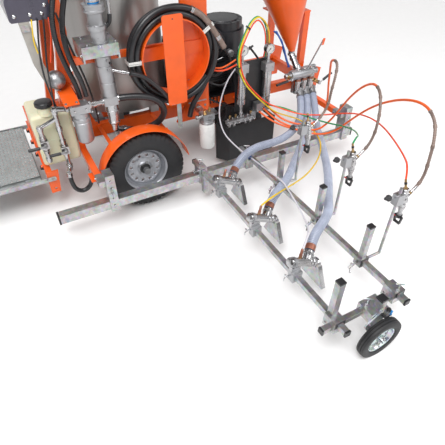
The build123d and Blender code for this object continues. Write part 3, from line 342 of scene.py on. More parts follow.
def spline_curve(name, points):
    """A smooth open curve with these control points, in metres."""
    curve = bpy.data.curves.new(name, "CURVE")
    curve.dimensions = "3D"
    spline = curve.splines.new("NURBS")
    spline.points.add(len(points) - 1)
    for point, place in zip(spline.points, points):
        point.co = (*place, 1)
    spline.order_u = 3
    spline.use_endpoint_u = True
    spline.resolution_u = 12
    return curve


def smooth_path(name, points):
    """Points read along the smooth curve, in millimetres."""
    curve = spline_curve(name, [Vector(p) * MM for p in points])
    holder = bpy.data.objects.new(name + "_line", curve)
    mesh = bpy.data.meshes.new_from_object(holder)
    path = [v.co / MM for v in mesh.vertices]
    bpy.data.objects.remove(holder)
    bpy.data.meshes.remove(mesh)
    return path


def resample(path, step):
    """The path again, with evenly spaced points, and its length."""
    lengths = running_lengths(path)
    total = lengths[-1]
    count = max(2, round(total / step))
    out, i = [], 0
    for k in range(count + 1):
        wanted = total * k / count
        while i < len(lengths) - 2 and lengths[i + 1] < wanted:
            i += 1
        share = (wanted - lengths[i]) / max(1e-9, lengths[i + 1] - lengths[i])
        out.append(path[i].lerp(path[i + 1], min(1, share)))
    return out, total


def sweep(piece, path, radius_at, sides=20, looks=None):
    """A closed tube on a path; radius_at(distance, total) gives its radius in millimetres."""
    lengths = running_lengths(path)
    total = lengths[-1]
    along = (path[1] - path[0]).normalized()
    across = along.orthogonal().normalized()
    verts = []
    for i, centre in enumerate(path):
        ahead = path[min(i + 1, len(path) - 1)]
        behind = path[max(i - 1, 0)]
        along = (ahead - behind).normalized()
        across = (across - along * across.dot(along)).normalized()
        up = along.cross(across)
        radius = radius_at(lengths[i], total)
        verts += [centre + across * a + up * b for a, b in around(sides, radius)]
    made = [piece.bm.verts.new(v * MM) for v in verts]
    for i in range(len(path) - 1):
        look = piece.current
        if looks:
            look = piece.slots.index(looks(lengths[i], total))
        for k in range(sides):
            n = (k + 1) % sides
            loop = (i * sides + k, i * sides + n, (i + 1) * sides + n, (i + 1) * sides + k)
            face = piece.bm.faces.new([made[j] for j in loop])
            face.material_index = look
    for loop in (range(sides - 1, -1, -1), range((len(path) - 1) * sides, len(path) * sides)):
        piece.bm.faces.new([made[j] for j in loop]).material_index = piece.current


# ---------------------------------------------------------------- hoses
BEAD_GUN_Y = (-185.0, -605.0, -1000.0)
PAINT_GUN_Y = (-305.0, -710.0, -1090.0)
SOCKET = Vector((0.72, 0.60, 0.35)).normalized()


def hose(name, points, slot, looks, radius_at, step=3.0, body_b=None,
         look_at=None, replaces=(), sides=20):
    """A hose: a mesh tube on its smooth route."""
    path = smooth_path(name, points)
    path, total = resample(path, step)
    piece = Piece()
    for look in looks:
        piece.use(look)
    piece.use(looks[0])
    sweep(piece, path, radius_at, sides, look_at)
    made = piece.done(name, None if body_b else "machine", slot, replaces, angle=80)
    if body_b:
        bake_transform(made)
    return made


BEAD_ROUTES = (
    [
        (1129, 397, 426), (1079, 310, 383), (1010, 222, 342), (905, 150, 318), (780, 98, 310),
        (650, 58, 326), (505, 18, 360), (375, -35, 376), (263, -97, 361), (206, -144, 333),
    ],
    [
        (1192, 397, 426), (1147, 312, 382), (1090, 232, 330), (1015, 142, 294), (915, 42, 276),
        (806, -62, 270), (689, -164, 280), (574, -278, 303), (459, -379, 328), (350, -458, 348),
        (261, -518, 359), (206, -564, 333),
    ],
    [
        (1255, 397, 426), (1210, 305, 380), (1160, 213, 330), (1098, 110, 294), (1040, -15, 274),
        (955, -160, 268), (860, -315, 268), (745, -468, 276), (615, -618, 300), (508, -748, 325),
        (422, -812, 345), (340, -862, 358), (261, -913, 360), (206, -959, 333),
    ],
)


RIB_PITCH = 10.5            # of the bead hoses
CUFF = 34.0                 # length of the cuff at a bead hose's gun end


def bead_radius(s, total):
    if s < 40 or total - s < CUFF:
        return 28.0
    return 26.3 + 1.5 * math.cos(2 * math.pi * s / RIB_PITCH)


# The crests of the ribs take the lighter rib colour as a painted highlight and the grooves between them
# keep the darker hose colour as painted shade; the cuff is its own colour.
def bead_look_and_rib_shading(s, total):
    if total - s < CUFF:
        return COPPER_CUFF
    return BEAD_RIB_HIGHLIGHT if math.cos(2 * math.pi * s / RIB_PITCH) > 0.2 else CLEAR_HOSE


BEAD_LENGTHS = (1.133, 1.427, 1.781)
BEAD_BENDS = ((0.0, -0.14), (-0.30, -0.55), (-0.75, -0.95))
for number, (route, length, zone) in enumerate(zip(BEAD_ROUTES, BEAD_LENGTHS, BEAD_BENDS), 1):
    hose(
        f"bead_tube_{number}", route, "clear_hose", (CLEAR_HOSE, BEAD_RIB_HIGHLIGHT, COPPER_CUFF),
        bead_radius, 1.5, f"bead_gun_{number}", bead_look_and_rib_shading, (f"bead_hose_{number}",), sides=26,
    )

PAINT_ROUTES = (
    [
        (768, 337, 472), (800, 290, 425), (850, 215, 382), (935, 110, 368), (1035, 62, 385),
        (1085, 45, 465), (1072, 23, 590), (1011, -22, 730), (941, -92, 860), (868, -163, 962),
        (836, -258, 984), (798, -300, 915), (779, -305, 830), (776, -308, 760), (747, -305, 690),
        (693, -305, 642),
    ],
    [
        (738, 337, 452), (772, 288, 408), (830, 205, 365), (915, 95, 348), (1005, 0, 358),
        (1065, -45, 440), (1068, -120, 570), (1030, -225, 710), (962, -370, 850), (885, -520, 945),
        (812, -640, 955), (776, -698, 885), (770, -710, 800), (762, -711, 730), (733, -710, 672),
        (693, -710, 642),
    ],
    [
        (703, 337, 434), (738, 285, 398), (800, 200, 364), (890, 80, 354), (985, -45, 348),
        (1060, -130, 405), (1080, -225, 530), (1050, -370, 680), (985, -540, 815), (910, -730, 930),
        (846, -898, 988), (796, -1012, 962), (757, -1066, 888), (740, -1086, 800), (742, -1090, 728),
        (725, -1091, 672), (693, -1090, 642),
    ],
)
SHEATHED = 430.0            # last part of each paint hose, in a spiral guard
FERRULE = 30.0              # steel end of each paint hose


def paint_radius(s, total):
    left = total - s
    if left > SHEATHED:
        return 7.0
    if left < FERRULE:
        return 8.0
    lump = max(0.0, 1 - abs(left % 96.0 - 48.0) / 13.0)
    return 7.6 + 0.8 * math.cos(2 * math.pi * s / 12.0) + 2.6 * lump


def paint_look(s, total):
    left = total - s
    if left < FERRULE:
        return BRIGHT
    return SHEATH if left < SHEATHED else ORANGE_HOSE


PAINT_LENGTHS = (1.576, 1.789, 2.111)
PAINT_BENDS = ((-0.10, -0.29), (-0.50, -0.695), (-0.85, -1.06))
for number, (route, length, zone) in enumerate(zip(PAINT_ROUTES, PAINT_LENGTHS, PAINT_BENDS), 1):
    hose(
        f"paint_tube_{number}", route, "orange_hose", (ORANGE_HOSE, SHEATH, BRIGHT),
        paint_radius, 2.5, f"paint_gun_{number}", paint_look, (f"paint_hose_{number}",), sides=16,
    )

AIR = (
    ("air_white", WHITE_HOSE, 1.843, "bead_gun_3", (-0.70, -0.96), [
        (508, 377, 785), (462, 384, 735), (415, 384, 640), (380, 378, 540), (365, 350, 445),
        (368, 290, 365), (385, 200, 330), (398, 85, 318), (410, -40, 322), (412, -170, 332),
        (403, -300, 354), (388, -430, 388), (362, -555, 386), (336, -680, 372), (300, -790, 374),
        (250, -880, 402), (188, -945, 425), (141, -975, 392),
    ]),
    ("air_yellow", YELLOW_HOSE, 2.650, "bead_gun_2", (-0.30, -0.57), [
        (790, 416, 812), (801, 405, 895), (771, 395, 1022), (690, 380, 1103), (619, 365, 1081),
        (564, 350, 1012), (510, 338, 910), (506, 326, 805), (542, 314, 700), (620, 302, 604),
        (728, 285, 498), (808, 262, 432), (898, 232, 398), (965, 160, 382), (995, 55, 352),
        (985, -60, 326), (920, -160, 312), (825, -250, 306), (715, -325, 310), (600, -390, 322),
        (480, -445, 346), (375, -495, 376), (285, -540, 402), (200, -575, 418), (141, -580, 392),
    ]),
    ("air_green", GREEN_HOSE, 2.442, "paint_gun_2", (-0.45, -0.68), [
        (776, 418, 812), (788, 419, 893), (764, 409, 1024), (690, 394, 1104), (619, 379, 1082),
        (564, 364, 1013), (510, 352, 911), (506, 340, 806), (542, 328, 701), (620, 316, 605),
        (728, 299, 499), (850, 285, 464), (925, 205, 442), (985, 105, 424), (1030, 0, 428),
        (1040, -115, 456), (1022, -230, 500), (975, -340, 548), (915, -440, 594), (835, -535, 640),
        (752, -615, 692), (682, -665, 730), (643, -687, 713),
    ]),
    ("air_red", RED_HOSE, 2.752, "paint_gun_3", (-0.80, -1.05), [
        (762, 417, 812), (770, 407, 890), (750, 402, 1005), (686, 386, 1082), (632, 371, 1065),
        (581, 356, 1003), (524, 341, 908), (521, 331, 806), (555, 320, 708), (629, 309, 616),
        (735, 291, 512), (803, 265, 482), (870, 235, 452), (960, 150, 430), (1060, 40, 452),
        (1125, -80, 505), (1135, -210, 560), (1105, -350, 605), (1050, -480, 640), (985, -600, 668),
        (915, -715, 690), (840, -830, 710), (765, -935, 730), (695, -1020, 745), (643, -1067, 713),
    ]),
)
for name, look, length, gun, zone, route in AIR:
    covers = ("air_lines",) if name == "air_white" else ()
    hose(name, route, "air_hose", (look,), lambda s, total: 5.0, 5.0, gun,
         None, covers, sides=14)


def spiral_guard(radius):
    """A smooth hose in a black spiral guard."""
    return lambda s, total: radius - 1.0 if 40 < s < total - 40 and s % 11.0 < 3.2 else radius


BLACK = (
    ("outlet_hose", 15.0, 0.318, True, [
        (-259, 305, 924), (-208, 302, 908), (-156, 299, 872), (-108, 297, 822), (-64, 296, 768),
        (-28, 296, 716),
    ]),
    ("loop_hose", 21.0, 0.667, True, [
        (-343, 343, 772), (-285, 322, 778), (-205, 302, 770), (-125, 299, 740), (-72, 300, 678),
        (-62, 322, 604), (-100, 358, 538), (-165, 395, 500), (-230, 405, 488), (-277, 396, 513),
    ]),
    ("pressure_hose_1", 15.0, 0.618, False, [
        (-485, 440, 1400), (-530, 430, 1300), (-566, 418, 1190), (-572, 398, 1080), (-552, 389, 980),
        (-528, 388, 890), (-522, 392, 805),
    ]),
    ("pressure_hose_2", 15.0, 0.629, True, [
        (-540, 460, 1400), (-590, 450, 1290), (-612, 438, 1170), (-606, 426, 1060), (-585, 416, 960),
        (-562, 412, 870), (-556, 410, 790),
    ]),
    ("suction_hose", 15.0, 0.323, False, [
        (-744, 372, 298), (-744, 370, 240), (-728, 368, 190), (-690, 366, 164), (-645, 364, 180),
        (-614, 362, 230), (-604, 360, 298),
    ]),
)
for name, radius, length, guarded, route in BLACK:
    covers = ("black_hoses",) if name == "outlet_hose" else ()
    shape = spiral_guard(radius) if guarded else (lambda s, total, r=radius: r)
    hose(name, route, "black_hose", (BLACK_HOSE,), shape, 1.6, None,
         None, covers, sides=22)

# coil of hose round the drum: four turns, two beside two, then the hanging end
DRUM = Vector((55, 0, 955))
COIL_TAIL = [(285, 366, 788), (262, 364, 735), (226, 362, 682), (182, 360, 632), (148, 358, 580),
    (136, 358, 525)]
TURN_POINTS = 18
END_ANGLE = -36.0


def step_at(angle, middle):
    share = min(1.0, max(0.0, (angle - middle + 28) / 56))
    return share * share * (3 - 2 * share)


coil_route = []
turns = 4 * TURN_POINTS
for k in range(turns):
    wound = 360.0 * k / TURN_POINTS
    radius = 247.0 + 37.5 * step_at(wound, 630)
    radius += 1.2 * math.sin(k * 1.7)
    y = 347.2 + 37.3 * (step_at(wound, 330) - step_at(wound, 930))
    angle = math.radians(END_ANGLE - (wound - 4 * 360.0))
    coil_route.append((DRUM.x + 1.012 * radius * math.cos(angle), y,
        DRUM.z + 1.012 * radius * math.sin(angle)))
coil_route += [(x, y - 9, z) for x, y, z in COIL_TAIL[:1]] + COIL_TAIL[1:]
coil_path, coil_length = resample(smooth_path("coil", coil_route), 5.0)

HALF = 38.6                 # half of the wound section, and so of each tie
for number, degrees in enumerate((32.0, 178.0), 1):
    angle = math.radians(degrees)
    out = Vector((math.cos(angle), 0, math.sin(angle)))
    along = Vector((-math.sin(angle), 0, math.cos(angle)))
    middle = DRUM + out * 266 + Vector((0, 366, 0))
    tie = Piece().use(TIE)
    for low, high in ((-10, 4), (6, 13)):
        for a0, a1, b0, b1 in (
            (-HALF - 2, HALF + 2, -HALF - 2.0, -HALF + 0.5), (-HALF - 2, HALF + 2, HALF - 0.5, HALF + 1.0),
            (-HALF - 2, -HALF + 0.5, -HALF, HALF), (HALF - 0.5, HALF + 2, -HALF, HALF),
        ):
            tie.faces([middle + out * a + Vector((0, b, 0)) + along * c
                       for a in (a0, a1) for b in (b0, b1) for c in (low, high)], BOX_SIDES)
    tie.done(f"coil_tie_{number}", "machine", "white_plastic", bevel=0.5)

coil = Piece().use(BLACK_HOSE)
sweep(coil, coil_path, lambda s, total: 18.0, 22)
coil = coil.done("coil_of_hose", "machine", "black_hose", ("hose_coil",), angle=80)

# ---------------------------------------------------------------- road wheels
CENTRE_Y = 845.0            # the middle plane of the chassis


def tyre_loop(radius, half, rim, grooves):
    """The tyre's section as (radius, offset), from one bead round the tread to the other."""
    wall = [
        (rim - 0.5, half * 0.60), (rim + 5, half * 0.74), (rim + 0.16 * (radius - rim), half * 0.88),
        (rim + 0.40 * (radius - rim), half * 0.985), (rim + 0.62 * (radius - rim), half * 0.99),
        (radius - 0.20 * (radius - rim), half * 0.93), (radius - 0.07 * (radius - rim), half * 0.83),
        (radius - 1.5, half * 0.74),
    ]
    tread = []
    for middle in grooves:
        tread += [(radius, half * (middle + 0.055)), (radius - 6, half * (middle + 0.035)),
                  (radius - 6, half * (middle - 0.035)), (radius, half * (middle - 0.055))]
    back = [(r, -y) for r, y in reversed(wall)]
    return wall + tread + back, len(wall)


def wheel(name, node, body, centre, radius, width, rim, hub, side, lugs, holes, bolts, looks):
    """A tyre with tread, a pressed rim with its holes and bolts, and a hub cap."""
    out = (0, side, 0)
    loop, wall = tyre_loop(radius, width / 2, rim, (0.42, 0.0, -0.42))
    shoulders = (wall - 3, wall - 2, wall - 1, len(loop) - wall, len(loop) - wall + 1, len(loop) - wall + 2)

    def lug(k, i):
        return -8.0 if lugs and i in shoulders and k % 4 == 0 else 0.0

    sides = 4 * lugs if lugs else 120
    Piece().use(TYRE).ring(centre, out, loop, sides, lug).done(
        name + "_tyre", body, "rubber_tyre", (node,), angle=30)
    bead = width / 2 * 0.60
    lip = rim + 3
    disc = Piece().use(looks[0])
    disc.ring(centre, out, [
        (hub, 8), (hub, 20), (rim * 0.30, 20), (rim * 0.36, 12), (rim * 0.50, 7), (rim * 0.66, 14),
        (rim * 0.78, 10), (rim * 0.86, -2), (rim - 12, -4), (rim - 9, bead - 8), (lip - 3, bead + 2),
            (lip, bead + 5),
        (lip + 1, bead + 1), (rim - 3, bead - 6), (rim - 5, 0), (rim - 3, -bead + 6), (lip, -bead - 3),
        (rim - 8, -bead), (rim - 12, -8), (rim * 0.80, -6), (rim * 0.5, 1), (rim * 0.30, 8),
    ], 96)
    disc = disc.done(name + "_rim", body, "rubber_tyre", angle=28)
    cutters = Piece().use(PLASTIC)
    count, ring_at, size = holes
    middle = Vector(centre)
    for k in range(count):
        angle = 2 * math.pi * (k + 0.5) / count
        place = middle + Vector((ring_at * math.cos(angle), 0, ring_at * math.sin(angle)))
        cutters.rod(place - Vector((0, 40, 0)), place + Vector((0, 40, 0)), size, 20)
    cutter = cutters.done(name + "_cut", body, "rubber_tyre")
    cut = disc.modifiers.new("holes", "BOOLEAN")
    cut.object = cutter
    cut.solver = "EXACT"
    bpy.context.view_layer.update()
    bored = bpy.data.meshes.new_from_object(disc.evaluated_get(bpy.context.evaluated_depsgraph_get()))
    bored.name = name + "_rim"
    disc.modifiers.clear()
    disc.data = bored
    bpy.data.objects.remove(cutter)
    cap = Piece().use(looks[1])
    start = middle + Vector(out) * 16
    cap.turned(start, start + Vector(out), [(0, hub + 15), (8, hub + 15), (11, hub + 12), (11, hub + 4),
        (22, hub + 2),
                                             (26, hub - 3)], 40)
    cap.use(STEEL)
    count, ring_at, size = bolts
    for dx, dz in around(count, ring_at):
        cap.bolt(middle + Vector((dx, 0, dz)) + Vector(out) * 19, out, size, size * 1.1)
    cap.done(name + "_hub", body, "rubber_tyre", bevel=0.4)


for name, side in (("near", -1), ("far", 1)):
    wheel("rear_" + name, "rear_wheel_" + name, "wheel_rear_" + name, (-261, CENTRE_Y + side * 560, 274),
          274, 150, 152, 22.05, side, 46, (12, 98, 10), (5, 46, 7.5), (RIM, PLASTIC))
    wheel("front_" + name, "front_wheel_" + name, "wheel_front_" + name, (695, CENTRE_Y + side * 230, 200),
          200, 100, 105, 15.05, side, 38, (6, 62, 8), (4, 33, 5.5), (RIM, PLASTIC))

castor = (291, -1451, 125)
loop, wall = tyre_loop(125, 25, 80, (0.30, -0.30))
Piece().use(TYRE).ring(castor, NEAR_SIDE, loop, 120).done("castor_tyre", "castor_roll", "rubber_tyre",
                                                          ("castor_wheel",), angle=30)
rim = Piece().use(ZINC)
rim.ring(castor, NEAR_SIDE, [
    (10.05, -16), (10.05, 18), (20, 18), (22, 6), (50, 4), (66, -3), (72, 2), (76, 14), (81, 17), (82, 13),
    (78, 10), (76, 0), (78, -10), (82, -13), (81, -17), (76, -14), (70, -8), (50, -4), (22, -6), (20, -16),
], 80)
rim.ring(castor, NEAR_SIDE, [(10.05, 18), (10.05, 24), (16, 24), (17, 18)], 40)
rim.use(STEEL)
for dx, dz in around(3, 40, 0.4):
    rim.bolt(Vector(castor) + Vector((dx, -4.5, dz)), NEAR_SIDE, 4.5, 4)
rim.done("castor_rim", "castor_roll", "rubber_tyre", bevel=0.3)
Piece().use(CHROME).bolt((291, -1476, 125), NEAR_SIDE, 11, 9).done("castor_nut", "castor_leg",
    "galvanised", bevel=0.4)

# ---------------------------------------------------------------- bead guns


def bead_gun(number, y):
    body = f"bead_gun_{number}"
    gun = Piece().use(BRIGHT)
    gun.turned((42, y, 364), (228, y, 275), [
        (0, 19), (3, 24), (8, 26), (20, 26), (22, 23.5), (30, 23.5), (32, 26), (46, 26), (47, 24.4),
            (142, 24.4),
        (143, 26), (156, 26), (158, 23.0), (168, 23.0), (170, 26), (180, 26), (186, 23), (206, 20),
    ], 48)
    joint = Vector((157, y, 309))
    gun.turned(joint, joint + SOCKET, [(10, 25), (40, 25), (41, 29), (50, 29), (52, 26.5), (62, 26.5)], 40)
    gun.use(CAST)
    bar = 15.3                  # half of the bar and its play
    for x0, x1, z0, z1 in ((57, 87 - bar, 225, 285), (87 + bar, 117, 225, 285),
                           (87 - bar, 87 + bar, 225, 255 - bar), (87 - bar, 87 + bar, 255 + bar, 285)):
        gun.block(x0, x1, y - 32, y + 12, z0, z1)
    gun.use(BRIGHT).block(57, 117, y - 12, y + 12, 285, 343)
    for x in (68, 106):
        gun.bolt((x, y - 12, 315), NEAR_SIDE, 5, 4)
    gun.bolt((87, y - 32, 232), NEAR_SIDE, 5, 4)
    # clamp round the barrel, and its hose clip
    gun.use(CAST).nut((62, y, 354.4), (228, y, 275), 28.5, 0, 16, 40)
    gun.use(STEEL).nut(joint + SOCKET * 44, joint + SOCKET * 100, 29.8, 0, 7, 40)
    gun.block(177, 188, y + 2, y + 20, 348, 360)
    # air fitting
    foot = Vector((107, y, 335))
    lean = Vector((30, 22, 50)).normalized()
    gun.use(COPPER_CUFF).turned(foot, foot + lean, [(6, 9), (40, 9), (42, 7.5), (66, 7.5), (70, 6)], 24)
    gun.use(BRASS).nut(foot, foot + lean, 10, 20, 30)
    # wing screw
    gun.use(CHROME).rod((57, y - 10, 270), (30, y - 10, 278), 4, 16)
    gun.rod((26, y - 22, 276), (26, y + 2, 282), 4.5, 16, 1.5)
    gun.rod((30, y - 10, 278), (22, y - 10, 280), 8, 20, 1.5)
    gun.bent([(30, y - 10, 278), (20, y - 10, 268), (14, y - 10, 258), (16, y - 10, 246)], 3, 10)
    gun.done(f"bead_gun_body_{number}", body, "bright_steel", (body,), bevel=0.8)
    # hood: fan plate with a rounded shoulder and folded edges
    hood = Piece().use(GALV)
    top = []
    for k in range(9):
        angle = math.pi * (1 - k / 8)
        top.append((y + 32 * math.cos(angle), 268 + 30 * math.sin(angle)))
    fan = top + [(y + 90, 145), (y - 90, 145)]
    hood.plate(fan, on_x, 216.5, 219)
    hood.use(BRIGHT)
    hood.plate([(y - 32, 268), (y - 29, 268), (y - 87, 145), (y - 90, 145)], on_x, 219, 244)
    hood.plate([(y + 29, 268), (y + 32, 268), (y + 90, 145), (y + 87, 145)], on_x, 219, 236)
    for k in range(8):
        (a0, b0), (a1, b1) = top[k], top[k + 1]
        hood.plate([(a0, b0), (a1, b1), (a1 * 0.94 + y * 0.06, b1 - 2.5), (a0 * 0.94 + y * 0.06, b0 - 2.5)],
                   on_x, 219, 238)
    hood.nut((206, y, 284), (222, y, 278), 24, 0, 13, 40)
    for dy in (-14, 14):
        hood.bolt((216.5, y + dy, 256), (-1, 0, 0), 4.5, 4)
    hood.done(f"bead_hood_{number}", body, "bright_steel", bevel=0.6)


for number, y in enumerate(BEAD_GUN_Y, 1):
    bead_gun(number, y)

# ---------------------------------------------------------------- paint guns


def paint_gun(number, y):
    body = f"paint_gun_{number}"
    gun = Piece().use(CAST)
    for x0, x1, y0, y1 in ((578, 590.4, y - 20, y + 20), (609.6, 622, y - 20, y + 20),
                           (590.4, 609.6, y - 20, y - 9.6), (590.4, 609.6, y + 9.6, y + 20)):
        gun.block(x0, x1, y0, y1, 592, 654)
    gun.block(622, 640, y - 12, y + 12, 602, 630)
    gun.use(BRIGHT)
    gun.turned((635, y, 675), (640, y, 640), [(0, 13), (2, 16), (12, 17), (14, 14.5), (18, 14.5), (20, 17),
        (35, 17)], 40)
    gun.turned((640, y, 640), (652, y, 545), [
        (0, 20), (14, 20), (15, 17.5), (26, 17.5), (27, 20), (52, 20), (53, 18.5), (78, 18.5), (80, 20),
            (95, 18),
    ], 48)
    gun.use(BRASS).nut((651, y, 556), (658, y, 495), 14.5, 0, 8)
    gun.use(BRIGHT).turned((652, y, 545), (658, y, 495), [(0, 15), (10, 15), (12, 12), (34, 12),
        (36, 13.5), (50, 13.5)], 36)
    for k in range(2):
        gun.bolt((640, y - 19, 618 - 34 * k), (0, -1, 0.1), 4.5, 4)
    gun.use(CAST).block(646, 664, y - 16, y + 16, 584, 604)
    # tip and its open black guard
    gun.use(PLASTIC)
    gun.turned((657, y, 502), (659, y, 480), [(0, 17), (14, 18), (20, 15)], 8)
    gun.block(651, 663, y - 25, y + 25, 482, 492)
    for side in (-1, 1):
        gun.plate([(y + side * 25, 490), (y + side * 17, 490), (y + side * 13, 454), (y + side * 20, 448)],
                  on_x, 650, 664)
    gun.block(650, 664, y - 20, y + 20, 445, 453)
    gun.use(RED).rod((648, y + 14, 487), (646, y + 30, 484), 4, 12)
    # black three-lobed knob on its screw
    axis = (Vector((505, y, 660)) - Vector((540, y, 652))).normalized()
    gun.use(CHROME).rod((578, y, 640), (542, y, 652), 5, 16)
    gun.use(PLASTIC)
    base = Vector((538, y, 652.5))
    gun.turned(base, base + axis, [(0, 10), (4, 14), (22, 13), (34, 7), (36, 4)], 24)
    side_a = axis.orthogonal().normalized()
    side_b = axis.cross(side_a)
    for a, b in around(3, 9.5, 0.5):
        off = side_a * a + side_b * b
        gun.turned(base + off, base + off + axis, [(8, 5), (12, 8.5), (24, 8.5), (31, 4)], 18)
    # fluid inlet with its swivel, air inlet with a brass collar
    gun.use(BRIGHT).turned((652, y, 612), (690, y, 640), [(0, 9), (14, 9), (15, 11), (26, 11), (27, 8.5),
        (47, 8.5)], 24)
    gun.use(BRASS).nut((652, y, 612), (690, y, 640), 10.5, 29, 39)
    gun.use(BRASS).turned((634, y, 672), (640, y + 18, 705), [(0, 8), (10, 8), (11, 6), (48, 6)], 20)
    gun.use(PLASTIC).nut((634, y, 672), (640, y + 18, 705), 8, 22, 34)
    gun.done(f"paint_gun_body_{number}", body, "bright_steel", (body,), bevel=0.6)


for number, y in enumerate(PAINT_GUN_Y, 1):
    paint_gun(number, y)

# ---------------------------------------------------------------- caps, liners and screws of the outrigger
caps = Piece().use(PLASTIC)


def cap_end(x0, x1, y0, y1, z0, z1, grow=1.2):
    """A plastic cap slipped over the end of a square tube."""
    caps.block(x0 - grow, x1 + grow, y0 - grow, y1 + grow, z0 - grow, z1 + grow)


for x in (87, 465):
    cap_end(x - 15, x + 15, -1420, -1412, 240, 270)
    cap_end(x - 15, x + 15, 207, 214, 240, 270)
    caps.block(x - 16.5, x + 16.5, -1366, -1363, 238.5, 271.5)
    caps.block(x - 16.5, x + 16.5, 62, 66, 238.5, 271.5)
cap_end(2, 10, -1349, -1319, 210, 240)
cap_end(523, 531, -1349, -1319, 210, 240)
cap_end(-904, -894, 75, 135, 170, 230)
cap_end(1429, 1439, 75, 135, 170, 230)
cap_end(70, 104, -1320, -1286, 498, 506, 1.0)
for y in PAINT_GUN_Y:
    cap_end(450, 480, y - 15, y + 15, 494, 502, 1.5)
    caps.block(437, 493, y - 26.5, y - 25, 227, 283)
for x in (57, 435):
    caps.block(x - 0.5, x + 60.5, -1365.2, -1364, 238, 281)
caps.done("tube_caps", "machine", "black_grip", bevel=1.0)
post_cap = Piece().use(PLASTIC)
post_cap.block(303.5, 346.5, -1393.5, -1350.5, 314, 328.5)
post_cap.done("post_cap", "castor_leg", "black_grip", bevel=2.0)

clamp = Piece().use(BRIGHT)
for x in (87, 465):
    clamp.nut((x, 120, 280), (x, 120, 300), 9, 0, 9)
    for y in (76, 134):
        clamp.bolt((x - 30, y, 205), (-1, 0, 0), 6, 5)
        clamp.bolt((x + 30, y, 205), (1, 0, 0), 6, 5)
    clamp.bolt((x - 30, -1300, 225), (-1, 0, 0), 5, 4)
    clamp.bolt((x + 30, -1300, 225), (1, 0, 0), 5, 4)
    clamp.turned((x - 30, 88, 255), (x - 62, 88, 255), [(0, 9), (8, 9), (9, 5), (32, 5)], 18)
    clamp.rod((x - 62, 74, 249), (x - 62, 102, 261), 4, 14, 1.2)
clamp.nut((465, -1349, 280), (465, -1349, 300), 9, 0, 9)
clamp.nut((280, -1334, 262), (280, -1334, 290), 9, 0, 9)
for y in PAINT_GUN_Y:
    # slotted cross handles of the carriers
    clamp.nut((438, y, 255), (415, y, 243), 9, 0, 7)
    clamp.rod((400, y - 3, 238), (372, y - 26, 222), 5, 16, 1.5)
    clamp.rod((400, y - 3, 238), (412, y + 12, 246), 5, 16, 1.5)
    clamp.bolt((492, y - 14, 268), (1, 0, 0), 4.5, 4)
    clamp.nut((492, y, 245), (512, y, 245), 11, 0, 12)
for x in (-598, 1308):
    for dz in (-8, 46):
        clamp.bolt((x + 48, 61, 212 + dz), NEAR_SIDE, 6, 5)
        clamp.bolt((x + 48, 61, 345 + dz), NEAR_SIDE, 6, 5)
    clamp.turned((x + 48, 61, 300), (x + 48, 20, 300), [(0, 10), (9, 10), (10, 6.5), (30, 6.5)], 20)
    clamp.bolt((x - 20, 160, 372), (-1, 0, 0), 6, 5)
clamp.done("outrigger_screws", "machine", "galvanised", bevel=0.5)

leg = Piece().use(GALV)
leg.bolt((310, -1408, 180), NEAR_SIDE, 7, 5)
leg.bolt((246, -1408, 205), NEAR_SIDE, 6, 5)
leg.use(PLASTIC).turned((330, -1420, 276), (330, -1420, 300), [(0, 10), (14, 12), (20, 8)], 24)
leg.use(BLUE).block(334, 344, -1436, -1424, 258, 284)
leg.use(RUBBER).block(305, 348, -1434, -1409, 246, 257)
leg.use(CHROME).rod((291, -1400, 125), (291, -1428, 125), 13, 24)
leg.done("castor_trim", "castor_leg", "galvanised", bevel=0.8)

# ---------------------------------------------------------------- platform
deck = Piece().use(TREAD)
P_REAR, P_FRONT, P_NEAR, P_FAR = -1455.0, -915.0, 470.0, 1220.0
deck.block(P_REAR, P_FRONT, P_NEAR, P_FAR, 295.5, 299)
deck.block(P_REAR, P_FRONT, P_NEAR, P_NEAR + 4, 254, 299)
deck.block(P_REAR, P_FRONT, P_FAR - 4, P_FAR, 254, 299)
deck.block(P_REAR, P_REAR + 4, P_NEAR, P_FAR, 262, 299)
deck.block(P_FRONT - 4, P_FRONT, P_NEAR, P_FAR, 262, 299)
for y in (P_NEAR + 4, P_FAR - 34):
    deck.block(P_REAR, P_FRONT, y, y + 30, 254, 258)
for x in (-1300, -1185, -1060):
    deck.block(x, x + 30, P_NEAR + 30, P_FAR - 30, 264, 296)
deck.use(TREAD_TOP)
PITCH = 23.0
for i in range(int((P_FRONT - P_REAR - 26) / PITCH) + 1):
    for j in range(int((P_FAR - P_NEAR - 26) / PITCH) + 1):
        cx, cy = P_REAR + 18 + i * PITCH, P_NEAR + 18 + j * PITCH
        slant = 1 if (i + j) % 2 else -1
        ax, ay = 7.6, 7.6 * slant
        bx, by = -1.9 * slant, 1.9
        base = [(cx + ax, cy + ay), (cx + bx, cy + by), (cx - ax, cy - ay), (cx - bx, cy - by)]
        verts = [(x, y, 299) for x, y in base]
        verts += [(cx + 0.6 * (x - cx), cy + 0.6 * (y - cy), 301.4) for x, y in base]
        deck.faces(verts, [(4, 5, 6, 7), (0, 1, 5, 4), (1, 2, 6, 5), (2, 3, 7, 6), (3, 0, 4, 7)])
deck.use(GALV)
for y0, y1, out in ((430.0, 439.7, -1), (1250.3, 1260.0, 1)):
    arm = [(-1455, 264), (-1455, 292), (-1250, 294), (-832, 292), (-826, 286), (-826, 268), (-832, 262),
        (-1250, 262)]
    deck.plate(arm, on_y, y0, y1)
    inner = (y1, P_NEAR) if out < 0 else (P_FAR, y0)
    for x in (-1420, -1200, -1000):
        deck.block(x - 15, x + 15, inner[0], inner[1], 264, 290)
    face = y0 if out < 0 else y1
    for x in (-880, -845):
        deck.bolt((x, face, 276), (0, out, 0), 9, 7)
    groove = [(-1452, 275), (-1452, 279), (-900, 279), (-900, 275)]
    deck.plate(groove, on_y, *((face - 0.8, face) if out < 0 else (face, face + 0.8)))
    deck.rod((-845, (y0 + y1) / 2, 276), (-845, y1 + 14 if out < 0 else y0 - 14, 276), 8, 24)
deck.done("platform_deck", "platform", "tread_aluminium", ("platform",), bevel=0.5)

